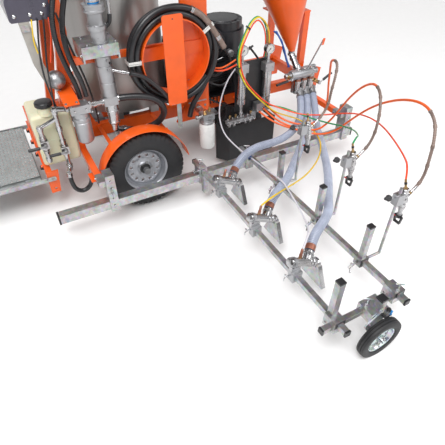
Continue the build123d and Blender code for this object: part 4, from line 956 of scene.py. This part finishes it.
# black buffers between the platform and the rear beam
buffers = Piece().use(RUBBER)
for y in (560, 750, 940, 1130):
    buffers.turned((-880, y, 304), (-892, y, 304), [(0, 18), (3, 18), (5, 15), (19, 14)], 28)
buffers.done("buffers", "machine", "black_rubber", bevel=0.6)

# ---------------------------------------------------------------- solvent tank
tank = Piece().use(TANK_WHITE)
tank.block(-868, -624, 482, 564, 347, 698)
tank.block(-868, -707, 540, 758, 516, 698)
tank = tank.done("solvent_vessel", "machine", "white_plastic", ("solvent_tank",), bevel=22)
tank.modifiers["edges"].segments = 5
fittings = Piece().use(TANK_WHITE)
fittings.turned((-764, 523, 690), (-764, 523, 775), [(0, 52), (14, 46), (30, 44), (48, 44)], 40)
for z in (430, 520, 610):
    fittings.block(-840, -650, 480.6, 484, z, z + 8)
fittings.use(PLASTIC).turned((-764, 523, 742), (-764, 523, 775), [(0, 46), (2, 52), (24, 52), (30, 48),
    (33, 34)], 36)
for dx, dy in around(24, 51.5):
    place = Vector((-764 + dx, 523 + dy, 744))
    fittings.rod(place, place + Vector((0, 0, 22)), 2.2, 8)
fittings.done("solvent_cap", "machine", "black_grip", bevel=0.8)

# ---------------------------------------------------------------- suction pipes, levers and fittings
pipes = Piece().use(BRIGHT)
for (a, b) in (((-722, 430, 317), (-722, 430, 750)), ((-831, 430, 410), (-831, 430, 649))):
    start, end = Vector(a), Vector(b)
    length = (end - start).length
    for share in (0.04, 0.28, 0.46, 0.66, 0.93):
        base = start.lerp(end, share)
        pipes.turned(base, end, [(0, 19), (16, 19), (17, 21), (22, 21), (23, 17), (30, 17)], 28)
for x, z in ((-722, 471), (-831, 540)):
    pipes.nut((x, 430, z - 34), (x, 430, z + 40), 21, 0, 14)
    pipes.nut((x, 430, z + 22), (x, 430, z + 40), 21, 0, 14)
    pipes.nut((x, 406, z), (x, 397, z), 16, 0, 8, 24)
pipes.nut((-722, 430, 750), (-660, 362, 765), 19, 20, 34)
pipes.nut((-665, 362, 765), (-648, 362, 765), 21, 2, 15)
pipes.nut((-744, 372, 330), (-744, 372, 300), 19, 4, 30)
pipes.nut((-604, 360, 330), (-604, 360, 300), 18, 6, 28)
pipes.done("pipe_fittings", "machine", "bright_steel", bevel=0.5)
for number, (x, z) in enumerate(((-722, 471), (-831, 540)), 1):
    lever = Piece().use(STEEL)
    lever.turned((x, 397.6, z), (x, 383, z), [(0, 13), (10, 13), (13, 11)], 24)
    lever.plate([(x - 10, z - 9), (x - 30, z - 7), (x - 96, z - 9), (x - 102, z - 5), (x - 102, z + 5),
        (x - 96, z + 9),
                 (x - 30, z + 7), (x - 10, z + 9)], on_y, 386, 392)
    lever.bolt((x, 383, z), NEAR_SIDE, 5, 4)
    lever.use(PLASTIC)
    lever.turned((x - 34, 389, z), (x - 106, 389, z), [(0, 8), (3, 10.5), (66, 10), (71, 7)], 20)
    lever.done(f"suction_handle_{number}", f"suction_lever_{number}", "black_paint",
        (f"suction_lever_{number}",), bevel=0.5)

# ---------------------------------------------------------------- filter, accumulator and pump
canister = Piece().use(CAST)
canister.block(-644, -528, 307, 393, 737, 788)
canister.turned((-586, 350, 737), (-586, 350, 525), [
    (0, 47), (30, 47), (32, 52), (50, 52), (52, 49.5), (60, 49.5), (62, 51.5), (178, 50.5), (190, 48),
        (198, 40),
    (206, 22), (212, 20),
], 56)
canister.use(STEEL)
for x in (-632, -540):
    for y in (318, 382):
        canister.bolt((x, y, 788), UP, 6, 5)
canister.use(BRIGHT)
canister.turned((-528, 352, 765), (-512, 352, 765), [(0, 24), (12, 24), (13, 20), (16, 20)], 6)
for y in (330, 372):
    canister.bolt((-586 + 34, 307, 762) if y < 350 else (-586 - 34, 307, 762), NEAR_SIDE, 6, 5)
canister.done("filter_body", "machine", "bright_steel", ("paint_filter",), bevel=2.2)

sphere = Piece().use(CAST)
sphere.ball((-655, 505, 890), 55)
sphere.use(STEEL).ring((-655, 505, 890), UP, [(54.6, -2), (56.0, -1.2), (56.0, 1.2), (54.6, 2)], 64)
sphere.use(BRIGHT).turned((-655, 505, 826), (-655, 505, 845), [(0, 20), (8, 20), (9, 16), (19, 16)], 6)
sphere.use(ORANGE)
sphere.plate([(330, 790), (330, 796), (420, 822), (480, 828), (572, 828), (572, 790)],
          on_x, -668, -578)
sphere.use(STEEL)
for x in (-655, -592):
    sphere.bolt((x, 346, 800), (0, -0.3, 1), 6, 5)
sphere.done("accumulator_ball", "machine", "bright_steel", ("accumulator",), bevel=1.2)

pump = Piece()
PX, PY = -390.0, 355.0
pump.use(CAST).turned((PX, PY, 1112), (PX, PY, 1270), [
    (0, 49), (8, 49), (9, 43), (30, 43), (31, 46), (64, 46), (65, 51), (70, 53), (90, 53), (93, 47),
        (100, 44), (158, 44),
], 56)
pump.turned((PX, PY, 1268), (PX, PY, 1312), [(0, 52), (4, 60), (14, 60), (15, 56), (30, 56), (31, 60),
    (42, 60), (44, 55)], 56)
pump.use(BLUE).turned((PX, PY, 1310), (PX, PY, 1442), [(0, 33), (2, 35), (130, 35), (132, 33)], 56)
pump.use(CAST).turned((PX, PY, 1438), (PX, PY, 1470), [(0, 40), (3, 43), (24, 43), (32, 34)], 48)
pump.use(STEEL)
for dx, dy in ((-80, -40), (80, -40), (-80, 110), (80, 110)):
    pump.bolt((PX + dx, PY + dy, 1112), UP, 9, 8)
for dx, dy in around(8, 49, 0.3):
    pump.bolt((PX + dx, PY + dy, 1205), UP, 4.5, 4, False)
for dx, dy in around(4, 49, 0.7):
    pump.rod((PX + dx, PY + dy, 1300), (PX + dx, PY + dy, 1445), 4, 14)
pump.use(PLASTIC)
for (x0, y0), (x1, y1) in zip(around(3, 41, -1.9), around(3, 44.5, -1.9)):
    pump.rod((PX + x0, PY + y0, 1150), (PX + x1, PY + y1, 1150), 9, 20)
pump.use(BRIGHT)
pump.turned((PX + 30, PY, 1345), (PX + 78, PY, 1345), [(0, 12), (18, 12), (19, 15), (30, 15), (31, 10),
    (47, 10)], 20)
pump.bent([(PX + 60, PY, 1345), (PX + 80, PY - 4, 1340), (PX + 82, PY - 8, 1290), (PX + 78, PY - 8, 1240)],
    9, 18)
pump.use(BLACK_HOSE).bent([(PX + 78, PY - 8, 1250), (PX + 77, PY - 8, 1225), (PX + 64, PY - 8, 1196),
    (PX + 46, PY - 6, 1190)], 12, 18)
pump.use(BRIGHT).nut((PX, PY, 1320), (PX, PY, 1332), 37.5, 0, 12, 48)
pump.done("pump_motor_body", "machine", "bright_steel", ("pump_motor",), bevel=0.8)

lower = Piece().use(BRIGHT)
lower.turned((PX, PY, 1100), (PX, PY, 1040), [(0, 22), (20, 22), (22, 30), (34, 30), (36, 20), (60, 20)],
    40)
lower.use(CAST).turned((PX, PY, 1042), (PX, PY, 800), [
    (0, 44), (4, 47), (52, 47), (54, 43.5), (60, 43.5), (62, 47), (150, 47), (152, 44), (160, 44),
        (162, 47), (242, 47),
], 56)
lower.use(BRIGHT).turned((PX, PY, 800), (PX, PY, 700), [(0, 43), (8, 43), (10, 40), (90, 40), (92, 43),
    (100, 43)], 56)
lower.use(CAST).block(PX - 47, PX + 37, PY - 43, PY + 35, 746, 799)
lower.use(BRIGHT).turned((PX, PY, 746), (PX, PY, 610), [(0, 37), (40, 37), (42, 34), (112, 34), (114, 37),
    (126, 37), (136, 26)], 48)
lower.turned((PX, PY, 612), (PX, PY, 570), [(0, 26), (12, 26), (14, 22), (42, 22)], 32)
lower.ball((PX, PY, 570), 22)
foot, mouth = Vector((PX, PY, 570)), Vector((-290, 392, 520))
lower.turned(foot, mouth, [(0, 20), (60, 19), (62, 24), (82, 24), (84, 20), ((mouth - foot).length, 20)],
    32)
lower.turned((PX + 35, PY - 10, 950), (-262, 306, 925), [(0, 14), (18, 14), (19, 10), (58, 10), (60, 13.5),
    (84, 13.5), (86, 10), (104, 10)], 28)
lower.turned((PX - 40, 352, 765), (-520, 352, 765), [(0, 23), (16, 23), (18, 17), (50, 17), (52, 22),
    (74, 22), (76, 17), (89, 17)], 32)
lower.turned((PX + 36, 348, 772), (PX + 54, 344, 772), [(0, 24), (10, 25), (16, 25)], 32)
lower.use(STEEL)
for z in (1018, 965):
    lower.nut((PX + 10, PY - 44, z), (PX + 16, PY - 60, z), 9, 0, 11)
lower.use(PLASTIC).turned((PX + 26, PY - 36, 1000), (PX + 34, PY - 47, 1000), [(0, 8), (10, 8), (12, 5)],
    20)
lower.done("pump_lower_body", "machine", "bright_steel", ("pump_lower",), bevel=0.8)

bracket = Piece().use(CHROME)
for x, out in ((-510, -1), (-310, 1)):
    bracket.bolt((x, 330, 1060), (out, 0, 0), 6, 5)
bracket.bolt((-405, 296, 1106), NEAR_SIDE, 4, 3)
bracket.done("bracket_bolts", "machine", "stainless", bevel=0.4)

# ---------------------------------------------------------------- drum cover and post
cover = Piece().use(ORANGE)


def rounded(x0, x1, z0, z1, r, steps=6):
    """A rectangle's outline with round corners."""
    out = []
    for cx, cz, start in ((x1 - r, z1 - r, 0), (x0 + r, z1 - r, 90), (x0 + r, z0 + r, 180),
        (x1 - r, z0 + r, 270)):
        for k in range(steps + 1):
            angle = math.radians(start + 90 * k / steps)
            out.append((cx + r * math.cos(angle), cz + r * math.sin(angle)))
    return out


cover.plate(rounded(-42, 89, 680, 1220, 16), on_y, 272, 277)
for z in (728, 1168):
    cover.block(10, 40, 277, 316, z, z + 14)
cover.use(GALV).plate(rounded(15, 45, 502, 690, 3), on_y, 278, 283)
cover.use(PLASTIC).rod((24, 271.4, 1196), (24, 272.5, 1196), 4.5, 20)
cover.use(STEEL)
cover.bolt((30, 278, 520), NEAR_SIDE, 6, 5)
cover.use(BRIGHT)
cover.turned((-25, 296, 712), (-7, 296, 688), [(0, 15), (10, 17), (24, 17), (30, 14)], 6)
cover.block(-20, 6, 277, 300, 676, 700)
cover.done("drum_cover_plate", "machine", "orange_paint", ("drum_cover",), bevel=0.8)

post = Piece().use(STEEL)
for z in (560, 760, 1280):
    for x in (165, 280):
        post.bolt((x, 404, z), NEAR_SIDE, 6, 5)
post.use(GALV).block(150, 290, 400, 404, 596, 604)
post.done("post_bolts", "machine", "orange_paint", bevel=0.4)

# ---------------------------------------------------------------- oil filter
oil = Piece().use(WHITE)
oil.turned((210, 240, 329), (210, 240, 518), [(0, 44), (4, 50), (12, 53.5), (176, 53.5), (182, 52),
    (189, 48)], 56)
oil.use(STEEL).turned((210, 240, 516), (210, 240, 548), [(0, 46), (4, 52), (14, 52), (16, 47), (32, 47)],
    48)
oil.use(CAST).block(168, 252, 203, 277, 546, 588)
for k in range(6):
    oil.rod((172 + 15 * k, 201.5, 552), (172 + 15 * k, 201.5, 582), 2.4, 8)
oil.use(BRASS)
oil.turned((190, 224, 588), (182, 214, 626), [(0, 13), (14, 13), (15, 9), (30, 9), (31, 12), (39, 12)], 20)
oil.turned((232, 250, 588), (236, 246, 620), [(0, 12), (12, 12), (13, 8), (32, 8)], 6)
oil.use(BRIGHT)
oil.turned((168, 240, 568), (128, 240, 568), [(0, 16), (14, 16), (15, 12), (26, 12), (27, 15), (39, 15)],
    24)
oil.nut((212, 203, 566), (212, 190, 566), 14, 0, 12)
oil.block(190, 230, 278, 404, 547, 578)
oil.done("oil_filter_body", "machine", "white_can", ("oil_filter",), bevel=1.0)

# ---------------------------------------------------------------- gauges
for number, (x, low_z, high_z, gauge_z) in enumerate(((560, 516, 811, 903), (774, 495, 786, 882)), 1):
    gauge = Piece().use(BRIGHT)
    gauge.turned((x, 375, low_z), (x, 375, high_z - 60), [
        (0, 22), (4, 33), (40, 33), (42, 29), (52, 29), (54, 33), (high_z - 60 - low_z, 33),
    ], 44)
    gauge.use(CAST).block(x - 37, x + 37, 343, 407, high_z - 60, high_z)
    gauge.use(BRIGHT)
    gauge.turned((x, 375, high_z), (x, 375, gauge_z - 20), [(0, 16), (14, 16), (15, 10), (44, 10),
        (46, 14), (72, 14)], 24)
    gauge.turned((x, 392, gauge_z), (x, 356, gauge_z), [(0, 30), (3, 34), (30, 34), (36, 33)], 56)
    gauge.ring((x, 356, gauge_z), NEAR_SIDE, [(29, -1), (34, -1), (35, 2), (34, 4.5), (30.5, 4.5),
        (29, 2)], 64)
    gauge.use(DIAL).nut((x, 357, gauge_z), (x, 355, gauge_z), 29.5, 0, 1.6, 56)
    gauge.use(PLASTIC)
    for k in range(21):
        angle = math.radians(225 - 270 * k / 20)
        inner = 22.5 if k % 5 == 0 else 25
        a = Vector((x + inner * math.cos(angle), 355.2, gauge_z + inner * math.sin(angle)))
        b = Vector((x + 28 * math.cos(angle), 355.2, gauge_z + 28 * math.sin(angle)))
        gauge.rod(a, b, 0.9 if k % 5 == 0 else 0.5, 6)
    angle = math.radians(225 if number == 1 else 222)
    tip = Vector((x + 23 * math.cos(angle), 354.2, gauge_z + 23 * math.sin(angle)))
    back = Vector((x - 8 * math.cos(angle), 354.2, gauge_z - 8 * math.sin(angle)))
    gauge.turned(back, tip, [(0, 1.8), (26, 1.2), (31, 0.3)], 8)
    gauge.turned((x, 355.5, gauge_z), (x, 352.8, gauge_z), [(0, 4), (2.7, 3.2)], 24)
    gauge.use(STEEL)
    for side in (-1, 1):
        gauge.bolt((x + side * 26, 343, high_z - 30), NEAR_SIDE, 5, 4)
    gauge.done(f"gauge_filter_{number}", "machine", "bright_steel",
        ("gauge_filters",) if number == 1 else (), bevel=0.8)
backing = Piece().use(BLACK_PAINT)
backing.block(530, 805, 412, 420, 440, 805)
for x in (560, 774):
    backing.block(x - 25, x + 25, 400, 412, 740, 775)
backing.use(ORANGE).block(600, 700, 420, 570, 470, 482)
backing.use(CAST).block(682, 798, 347, 405, 427, 493)
backing.use(BRIGHT)
for x, z in ((768, 472), (738, 452), (703, 434)):
    backing.nut((x, 349, z), (x, 337, z), 12, 0, 10)
backing.turned((545, 375, 800), (514, 376, 789), [(0, 11), (14, 11), (15, 8), (33, 8)], 20)
for x, y in ((790, 416), (776, 418), (762, 417)):
    backing.nut((x, y, 803), (x, y, 812), 7, 0, 9)
backing.done("gauge_bracket", "machine", "black_paint", bevel=1.0)

rail = Piece().use(CAST)
rail.block(432, 678, 347, 383, 380, 406)
rail.use(BRIGHT)
for x in (445, 485, 525, 575, 615, 655):
    rail.turned((x, 347, 393), (x, 327, 393), [(0, 10), (9, 10), (10, 7.5), (19, 7.5)], 6)
    rail.turned((x, 365, 406), (x, 365, 430), [(0, 9), (9, 9), (10, 6.5), (22, 6.5)], 6)
for x in (460, 500, 600, 640):
    rail.turned((x, 365, 382), (x, 365, 355), [(0, 11), (12, 11), (13, 9), (27, 9)], 20)
    rail.turned((x, 365, 372), (x - 22, 352, 366), [(0, 8), (24, 7)], 16)
    rail.use(PLASTIC).rod((x - 22, 352, 366), (x - 30, 346, 364), 9, 16, 2)
    rail.use(BRIGHT)
rail.turned((560, 375, 408), (560, 375, 516), [(0, 10), (30, 10), (31, 14), (46, 14), (47, 10), (84, 10),
    (86, 15), (108, 15)], 20)
rail.use(CAST).block(641, 679, 351, 379, 408, 440)
rail.use(BRASS)
for x in (458, 508, 640):
    rail.turned((x, 365, 424), (x + 4, 362, 448), [(0, 6), (12, 6), (13, 8), (24, 8)], 6)
rail.done("manifold_body", "machine", "bright_steel", ("manifold",), bevel=0.8)

# ---------------------------------------------------------------- console
console = Piece().use(CONSOLE)
console.plate([(-592, 1232), (-590, 1396), (-604, 1400), (-764, 1400), (-776, 1392), (-808, 1334),
    (-810, 1322), (-810, 1240),
               (-802, 1230), (-600, 1230)], on_y, 480, 1120)
for y in (478.8, 1120):
    console.plate([(-602, 1242), (-602, 1388), (-764, 1388), (-798, 1330), (-798, 1242)],
                  on_y, y, y + 1.2)
console.use(CHROME)
for x, z in ((-700, 1262), (-640, 1262), (-616, 1300), (-616, 1366), (-780, 1262)):
    console.turned((x, 480, z), (x, 470, z), [(0, 11), (2, 11), (5, 9.5), (8, 5), (9, 1)], 24)
console.use(RED)
console.turned((-700, 540, 1400), (-700, 540, 1420), [(0, 17), (8, 17), (10, 14), (16, 14)], 24)
console.use(DIAL)
for y in (640, 720):
    console.turned((-700, y, 1400), (-704, y, 1412), [(0, 26), (10, 26), (12, 23)], 36)
console.use(PLASTIC)
for y in (600, 780, 900, 960, 1020):
    console.turned((-650, y, 1399), (-650, y, 1409), [(0, 12), (9, 11)], 24)
console.done("console_body", "machine", "black_paint", ("console",), bevel=2.5)
leg = Piece().use(material("grey_leg", (0.40, 0.38, 0.35), 0.4, metal=0.3, vary=0.12, grime=0.3))
leg.plate([(-768, 1232), (-714, 1232), (-700, 1000), (-660, 861), (-712, 861), (-752, 1000)],
          on_y, 482, 528)
leg.use(GALV).block(-760, -722, 476, 482, 1180, 1216)
for z in (1190, 1206):
    leg.bolt((-741, 476, z), NEAR_SIDE, 4, 3)
leg.done("console_leg", "machine", "black_paint", bevel=3.0)
for number, (look, radius, points) in enumerate((
    (BLACK_HOSE, 5, [(-640, 470, 1240), (-655, 466, 1150), (-690, 452, 1000), (-700, 440, 880),
        (-712, 452, 760), (-716, 470, 600)]),
    (BLACK_HOSE, 5, [(-670, 470, 1240), (-700, 462, 1120), (-720, 455, 980), (-716, 452, 860),
        (-700, 455, 740)]),
    (YELLOW_HOSE, 3.5, [(-700, 474, 1240), (-712, 470, 1180), (-722, 462, 1120), (-716, 458, 1070)]),
    (RED_HOSE, 3.5, [(-612, 474, 1240), (-618, 468, 1170), (-640, 460, 1090), (-664, 456, 1010)]),
    (BLACK_HOSE, 6, [(-560, 545, 1240), (-545, 470, 1120), (-520, 452, 1000), (-490, 446, 860),
        (-470, 452, 700), (-462, 500, 560)]),
), 1):
    Piece().use(look).bent(points, radius, 12).done(f"console_cable_{number}", "machine", "black_hose")

wheel_rim = Piece().use(PLASTIC)
column = Vector((-0.6, 0, 0.8))
top = Vector((-826, 845, 1473))
wheel_rim.ring(top + column * 50, column, [(170 + a, b) for a, b in around(16, 14)], 96)
across = Vector((0, 1, 0))
along_rim = column.cross(across).normalized()
for a, b in around(3, 1, math.pi / 6):
    out = across * a + along_rim * b
    wheel_rim.turned(top + column * 36 + out * 24, top + column * 50 + out * 162,
                     [(0, 13), (40, 10), (110, 10), (138, 13)], 20)
wheel_rim.turned(top + column * 10, top + column * 60, [(0, 26), (6, 32), (40, 32), (46, 26), (50, 12)], 36)
wheel_rim.done("hand_wheel_rim", "hand_wheel", "black_grip", ("steering_wheel",), bevel=0.0, angle=50)

# ---------------------------------------------------------------- valves under the hopper
valves = Piece().use(BRIGHT)
valves.turned((1120, 565, 750), (1120, 565, 715), [(0, 24), (6, 26), (20, 26), (22, 29), (34, 29)], 40)
valves.turned((1120, 565, 728), (1130, 470, 620), [(0, 24), (30, 24), (32, 30), (48, 30), (50, 24),
    (100, 24), (102, 30),
                                                   (120, 30), (144, 26)], 40)
valves.use(CAST)
valves.turned((1000, 455, 600), (1312, 462, 600), [(0, 16), (8, 22), (50, 22), (52, 34), (66, 38),
    (240, 38), (252, 34),
                                                    (262, 24), (306, 24)], 44)
for k, x in enumerate((1130, 1193, 1256)):
    valves.use(BRIGHT).turned((x, 462, 640), (x, 462, 440), [
        (0, 18), (4, 24), (30, 24), (32, 30), (44, 30), (46, 24), (92, 24), (94, 31), (108, 31), (110, 27),
            (168, 27),
        (170, 31), (190, 31), (199, 26),
    ], 40)
    valves.use(COPPER_CUFF).nut((x, 462, 562), (x, 462, 540), 32, 0, 18)
    out = Vector((0.42, 0.80, 0.42)).normalized()
    start = Vector((x, 400, 428)) + out * 2
    valves.use(CAST).turned(start, start + out, [(0, 29), (18, 29), (20, 26), (60, 26), (62, 30),
        (74, 30)], 40)
    valves.use(STEEL).nut(start, start + out, 30.5, 4, 11, 40)
valves.use(CAST)
valves.block(1100, 1310, 478, 498, 442, 636)
valves.block(1152, 1198, 498, 569, 472, 498)
valves.use(STEEL)
for x in (1112, 1162, 1225, 1290):
    for z in (505, 622):
        valves.bolt((x, 478, z), NEAR_SIDE, 6, 5)
for x, z in ((1020, 600), (1300, 520)):
    valves.use(BRASS).turned((x, 470, z), (x, 400.5, z), [(0, 17), (38, 17), (40, 13), (56, 13), (57, 16),
        (68, 16)], 6)
    valves.use(CHROME).rod((x, 402, z), (x, 384, z), 5.9, 20)
valves.use(CHROME).rod((1197, 440, 630), (1316, 440, 835), 7, 16)
valves.use(ORANGE).plate([(1300, 800), (1318, 800), (1330, 846), (1312, 850)], on_y, 432, 438)
valves.done("hopper_valves", "machine", "bright_steel", ("hopper_valve_block",), bevel=0.6)
for number, (x, z, dx, dz) in enumerate(((1020, 600, -140, -18), (1300, 520, 110, 60)), 1):
    lever = Piece().use(STEEL)
    lever.ring((x, 391, z), NEAR_SIDE, [(6.05, -8), (12, -8), (13, -5), (13, 5), (12, 6), (6.05, 6)], 28)
    pivot, arm = Vector((x, 391, z)), Vector((dx, 0, dz))
    lever.nut(pivot + arm.normalized() * 9.5, pivot + arm, 5.5, 0, 30, 14)
    lever.use(PLASTIC).turned(pivot + arm.normalized() * 36, pivot + arm, [
        (0, 8), (4, 10.5), (arm.length - 46, 9.5), (arm.length - 38, 10.5), (arm.length - 34, 6),
    ], 20)
    lever.done(f"hopper_handle_{number}", f"hopper_lever_{number}", "black_grip",
        (f"hopper_lever_{number}",), bevel=0.4)

# ---------------------------------------------------------------- engine dressing
motor = Piece().use(ENGINE)
motor.block(392, 698, 628, 640, 560, 740)
for k in range(9):
    motor.block(400 + 33 * k, 408 + 33 * k, 616, 628, 566, 734)
for k in range(7):
    motor.block(345 + 28 * k, 352 + 28 * k, 562, 575, 470, 520)
motor.use(PLASTIC).block(384, 556, 548, 560, 644, 736)
motor.use(ENGINE)
for k in range(5):
    motor.block(392, 548, 540, 548, 654 + 16 * k, 660 + 16 * k)
for x, z in ((404, 660), (404, 724), (540, 660), (540, 724), (600, 575), (680, 575), (600, 720),
    (680, 720)):
    motor.bolt((x, 548 if x < 560 else 616, z), NEAR_SIDE, 6, 5)
motor.turned((640, 820, 990), (640, 820, 1004), [(0, 120), (6, 116), (12, 60)], 48)
for (x0, y0), (x1, y1) in zip(around(16, 60), around(16, 145)):
    motor.rod((640 + x0, 820 + y0, 997), (640 + x1, 820 + y1, 990), 3, 8)
motor.use(CAST).turned((600, 640, 800), (600, 590, 800), [(0, 26), (30, 26), (34, 20), (46, 20)], 32)
motor.use(CHROME)
motor.rod((420, 600, 760), (520, 590, 790), 6, 14)
motor.rod((650, 600, 640), (700, 560, 700), 7, 14)
motor.use(BRASS).turned((705, 640, 600), (730, 600, 600), [(0, 12), (16, 12), (18, 8), (40, 8)], 6)
motor.done("engine_dressing", "machine", "engine_metal", bevel=1.2)
for number in range(7):
    lean = 9.0 * math.sin(number * 1.9)
    Piece().use(CABLE_BLUE).bent([
        (925 + lean, 520 + 3 * number, 930), (948 + 3 * number, 486 + lean, 880),
            (985 + lean, 476 + 3 * number, 800), (1010 + 3 * number, 480, 715),
        (1050 + lean, 486, 660),
    ], 4.2, 10).done(f"blue_cable_{number + 1}", "machine", "air_hose")
for number, points in enumerate((
    [(330, 470, 700), (420, 440, 640), (500, 432, 700), (520, 440, 820), (470, 470, 900)],
    [(700, 520, 860), (760, 470, 780), (800, 450, 680), (850, 470, 600), (900, 520, 560)],
    [(320, 520, 780), (360, 450, 720), (440, 430, 760), (560, 436, 830), (700, 470, 880)],
    [(330, 560, 560), (420, 520, 500), (560, 500, 430), (700, 510, 420), (860, 540, 470)],
), 1):
    Piece().use(BLACK_HOSE).bent(points, 7.5, 14).done(f"engine_hose_{number}", "machine", "black_hose")
for number, (look, points) in enumerate((
    (RED_HOSE, [(300, 400, 820), (340, 380, 800), (420, 372, 790), (470, 374, 800), (514, 376, 812)]),
    (ORANGE_HOSE, [(262, 410, 940), (310, 396, 850), (350, 390, 812), (430, 392, 800), (520, 398, 838)]),
    (ORANGE_HOSE, [(262, 412, 910), (318, 402, 830), (360, 396, 790), (440, 396, 775), (530, 402, 800)]),
), 1):
    Piece().use(look).bent(points, 5.5, 14).done(f"side_hose_{number}", "machine", "air_hose")

# ---------------------------------------------------------------- ties round the hose bundle
bands = Piece().use(RUBBER)
for place, away, size in (
    ((506, 338, 806), (0, 0, 1), 21), ((735, 296, 500), (0.75, -0.2, -0.6), 17),
        ((590, 362, 1045), (0.7, 0, 0.7), 19),
):
    axis = Vector(away).normalized()
    bands.ring(place, axis, [(size - 2, -4), (size, -4), (size, 4), (size - 2, 4)], 32)
    side = axis.orthogonal().normalized()
    bands.rod(Vector(place) + side * (size - 1), Vector(place) + side * (size + 16), 2.2, 8)
bands.done("bundle_ties", "machine", "black_rubber", bevel=0.3)
loose = Piece().use(CABLE_BLUE)
loose.ring((404, -28, 322), (0.1, 1, 0.1), [(9, -6), (14, -6), (14, 6), (9, 6)], 28)
loose.use(RUBBER).rod((398, -34, 318), (380, -52, 322), 3, 10)
loose.done("line_tie", "machine", "black_rubber", bevel=0.3)

# ---------------------------------------------------------------- end of the coiled hose
sleeve = Piece().use(SHEATH)
arc = []
for degrees, r in ((66, 287), (56, 287), (46, 287), (36, 287), (26, 290), (17, 300), (8, 318), (1, 338)):
    a = math.radians(degrees)
    arc.append((DRUM.x + r * math.cos(a), 341 if degrees > 20 else 334, DRUM.z + r * math.sin(a)))
sleeve.bent(arc, 19, 20)
sleeve.use(BRIGHT)
sleeve.turned(arc[-3], arc[-1], [(0, 20.5), (26, 20.5), (28, 19), (44, 15), (60, 15)], 28)
sleeve.turned(arc[0], arc[2], [(0, 21), (18, 21)], 28)
sleeve.done("hose_sleeve", "machine", "bright_steel", bevel=0.4)

# ---------------------------------------------------------------- CAD nodes that stay
LOOKS = {
    ORANGE: ("chassis_frame", "mudguards", "drum_ring", "bead_hopper", "hopper_lid"),
    STEEL: ("rear_axle", "exhaust_muffler"),
    BLACK_PAINT: ("steering_axle", "hydraulic_tank"),
    BRIGHT: ("suction_pipes",),
    STAINLESS: ("paint_tank", "tank_lid"),
    ENGINE: ("engine_block",),
    RUBBER: ("splash_flap",),
    GALV: ("pump_bracket", "side_rail", "rail_mounts", "gun_bar_a", "gun_bar_b", "cross_bar", "bar_clamps",
           "gun_carriers", "castor_fork"),
}
FINE_EDGES = (*LOOKS[GALV], "chassis_frame", "hydraulic_tank", "mudguards")
for look, name in ((look, name) for look, names in LOOKS.items() for name in names):
    node = NODES[name]
    node.data.materials.clear()
    node.data.materials.append(look)
    weld = node.modifiers.new("weld", "WELD")
    weld.merge_threshold = 0.00002
    if name in FINE_EDGES:
        soften(node, 0.0012, 50)

# ---------------------------------------------------------------- floor and light
floor_mesh = bpy.data.meshes.new("floor")
floor_mesh.from_pydata([(-30, -30, 0), (30, -30, 0), (30, 30, 0), (-30, 30, 0)], [], [(0, 1, 2, 3)])
floor = bpy.data.objects.new("floor", floor_mesh)
SCENE.objects.link(floor)
floor_mesh.materials.append(material("floor", (0.92, 0.92, 0.92), 0.8, vary=0.01, bump=0.02))

world = bpy.data.worlds.new("studio")
bpy.context.scene.world = world
world.use_nodes = True
background = world.node_tree.nodes["Background"]
background.inputs["Strength"].default_value = 0.75
place = world.node_tree.nodes.new("ShaderNodeTexCoord")
patches = world.node_tree.nodes.new("ShaderNodeTexNoise")
patches.inputs["Scale"].default_value = 1.6
patches.inputs["Detail"].default_value = 1.0
ramp = world.node_tree.nodes.new("ShaderNodeValToRGB")
ramp.color_ramp.elements[0].position = 0.46
ramp.color_ramp.elements[0].color = (0.10, 0.085, 0.08, 1)
ramp.color_ramp.elements[1].position = 0.56
ramp.color_ramp.elements[1].color = (1.0, 1.0, 1.0, 1)
world.node_tree.links.new(place.outputs["Generated"], patches.inputs["Vector"])
world.node_tree.links.new(patches.outputs["Fac"], ramp.inputs["Fac"])
ray = world.node_tree.nodes.new("ShaderNodeLightPath")
seen = world.node_tree.nodes.new("ShaderNodeMix")
seen.data_type = "RGBA"
seen.inputs[7].default_value = (0.92, 0.92, 0.92, 1)
world.node_tree.links.new(ray.outputs["Is Camera Ray"], seen.inputs[0])
world.node_tree.links.new(ramp.outputs["Color"], seen.inputs[6])
world.node_tree.links.new(seen.outputs[2], background.inputs["Color"])
bpy.context.scene.view_settings.view_transform = "Standard"


def lamp(name, place, target, size, power):
    light = bpy.data.lights.new(name, "AREA")
    light.shape = "DISK"
    light.size = size
    light.energy = power
    holder = bpy.data.objects.new(name, light)
    SCENE.objects.link(holder)
    holder.location = place
    holder.rotation_euler = (Vector(target) - Vector(place)).to_track_quat("-Z", "Y").to_euler()


lamp("key", (-1.8, -2.4, 4.4), (0.1, -0.2, 0.3), 2.0, 110)
lamp("fill", (3.2, -3.2, 3.6), (0.2, -0.4, 0.3), 2.6, 70)
even = bpy.data.lights.new("even", "SUN")
even.energy = 2.1
even.angle = math.radians(50)
holder = bpy.data.objects.new("even", even)
SCENE.objects.link(holder)
holder.rotation_euler = (math.radians(14), math.radians(-16), 0)
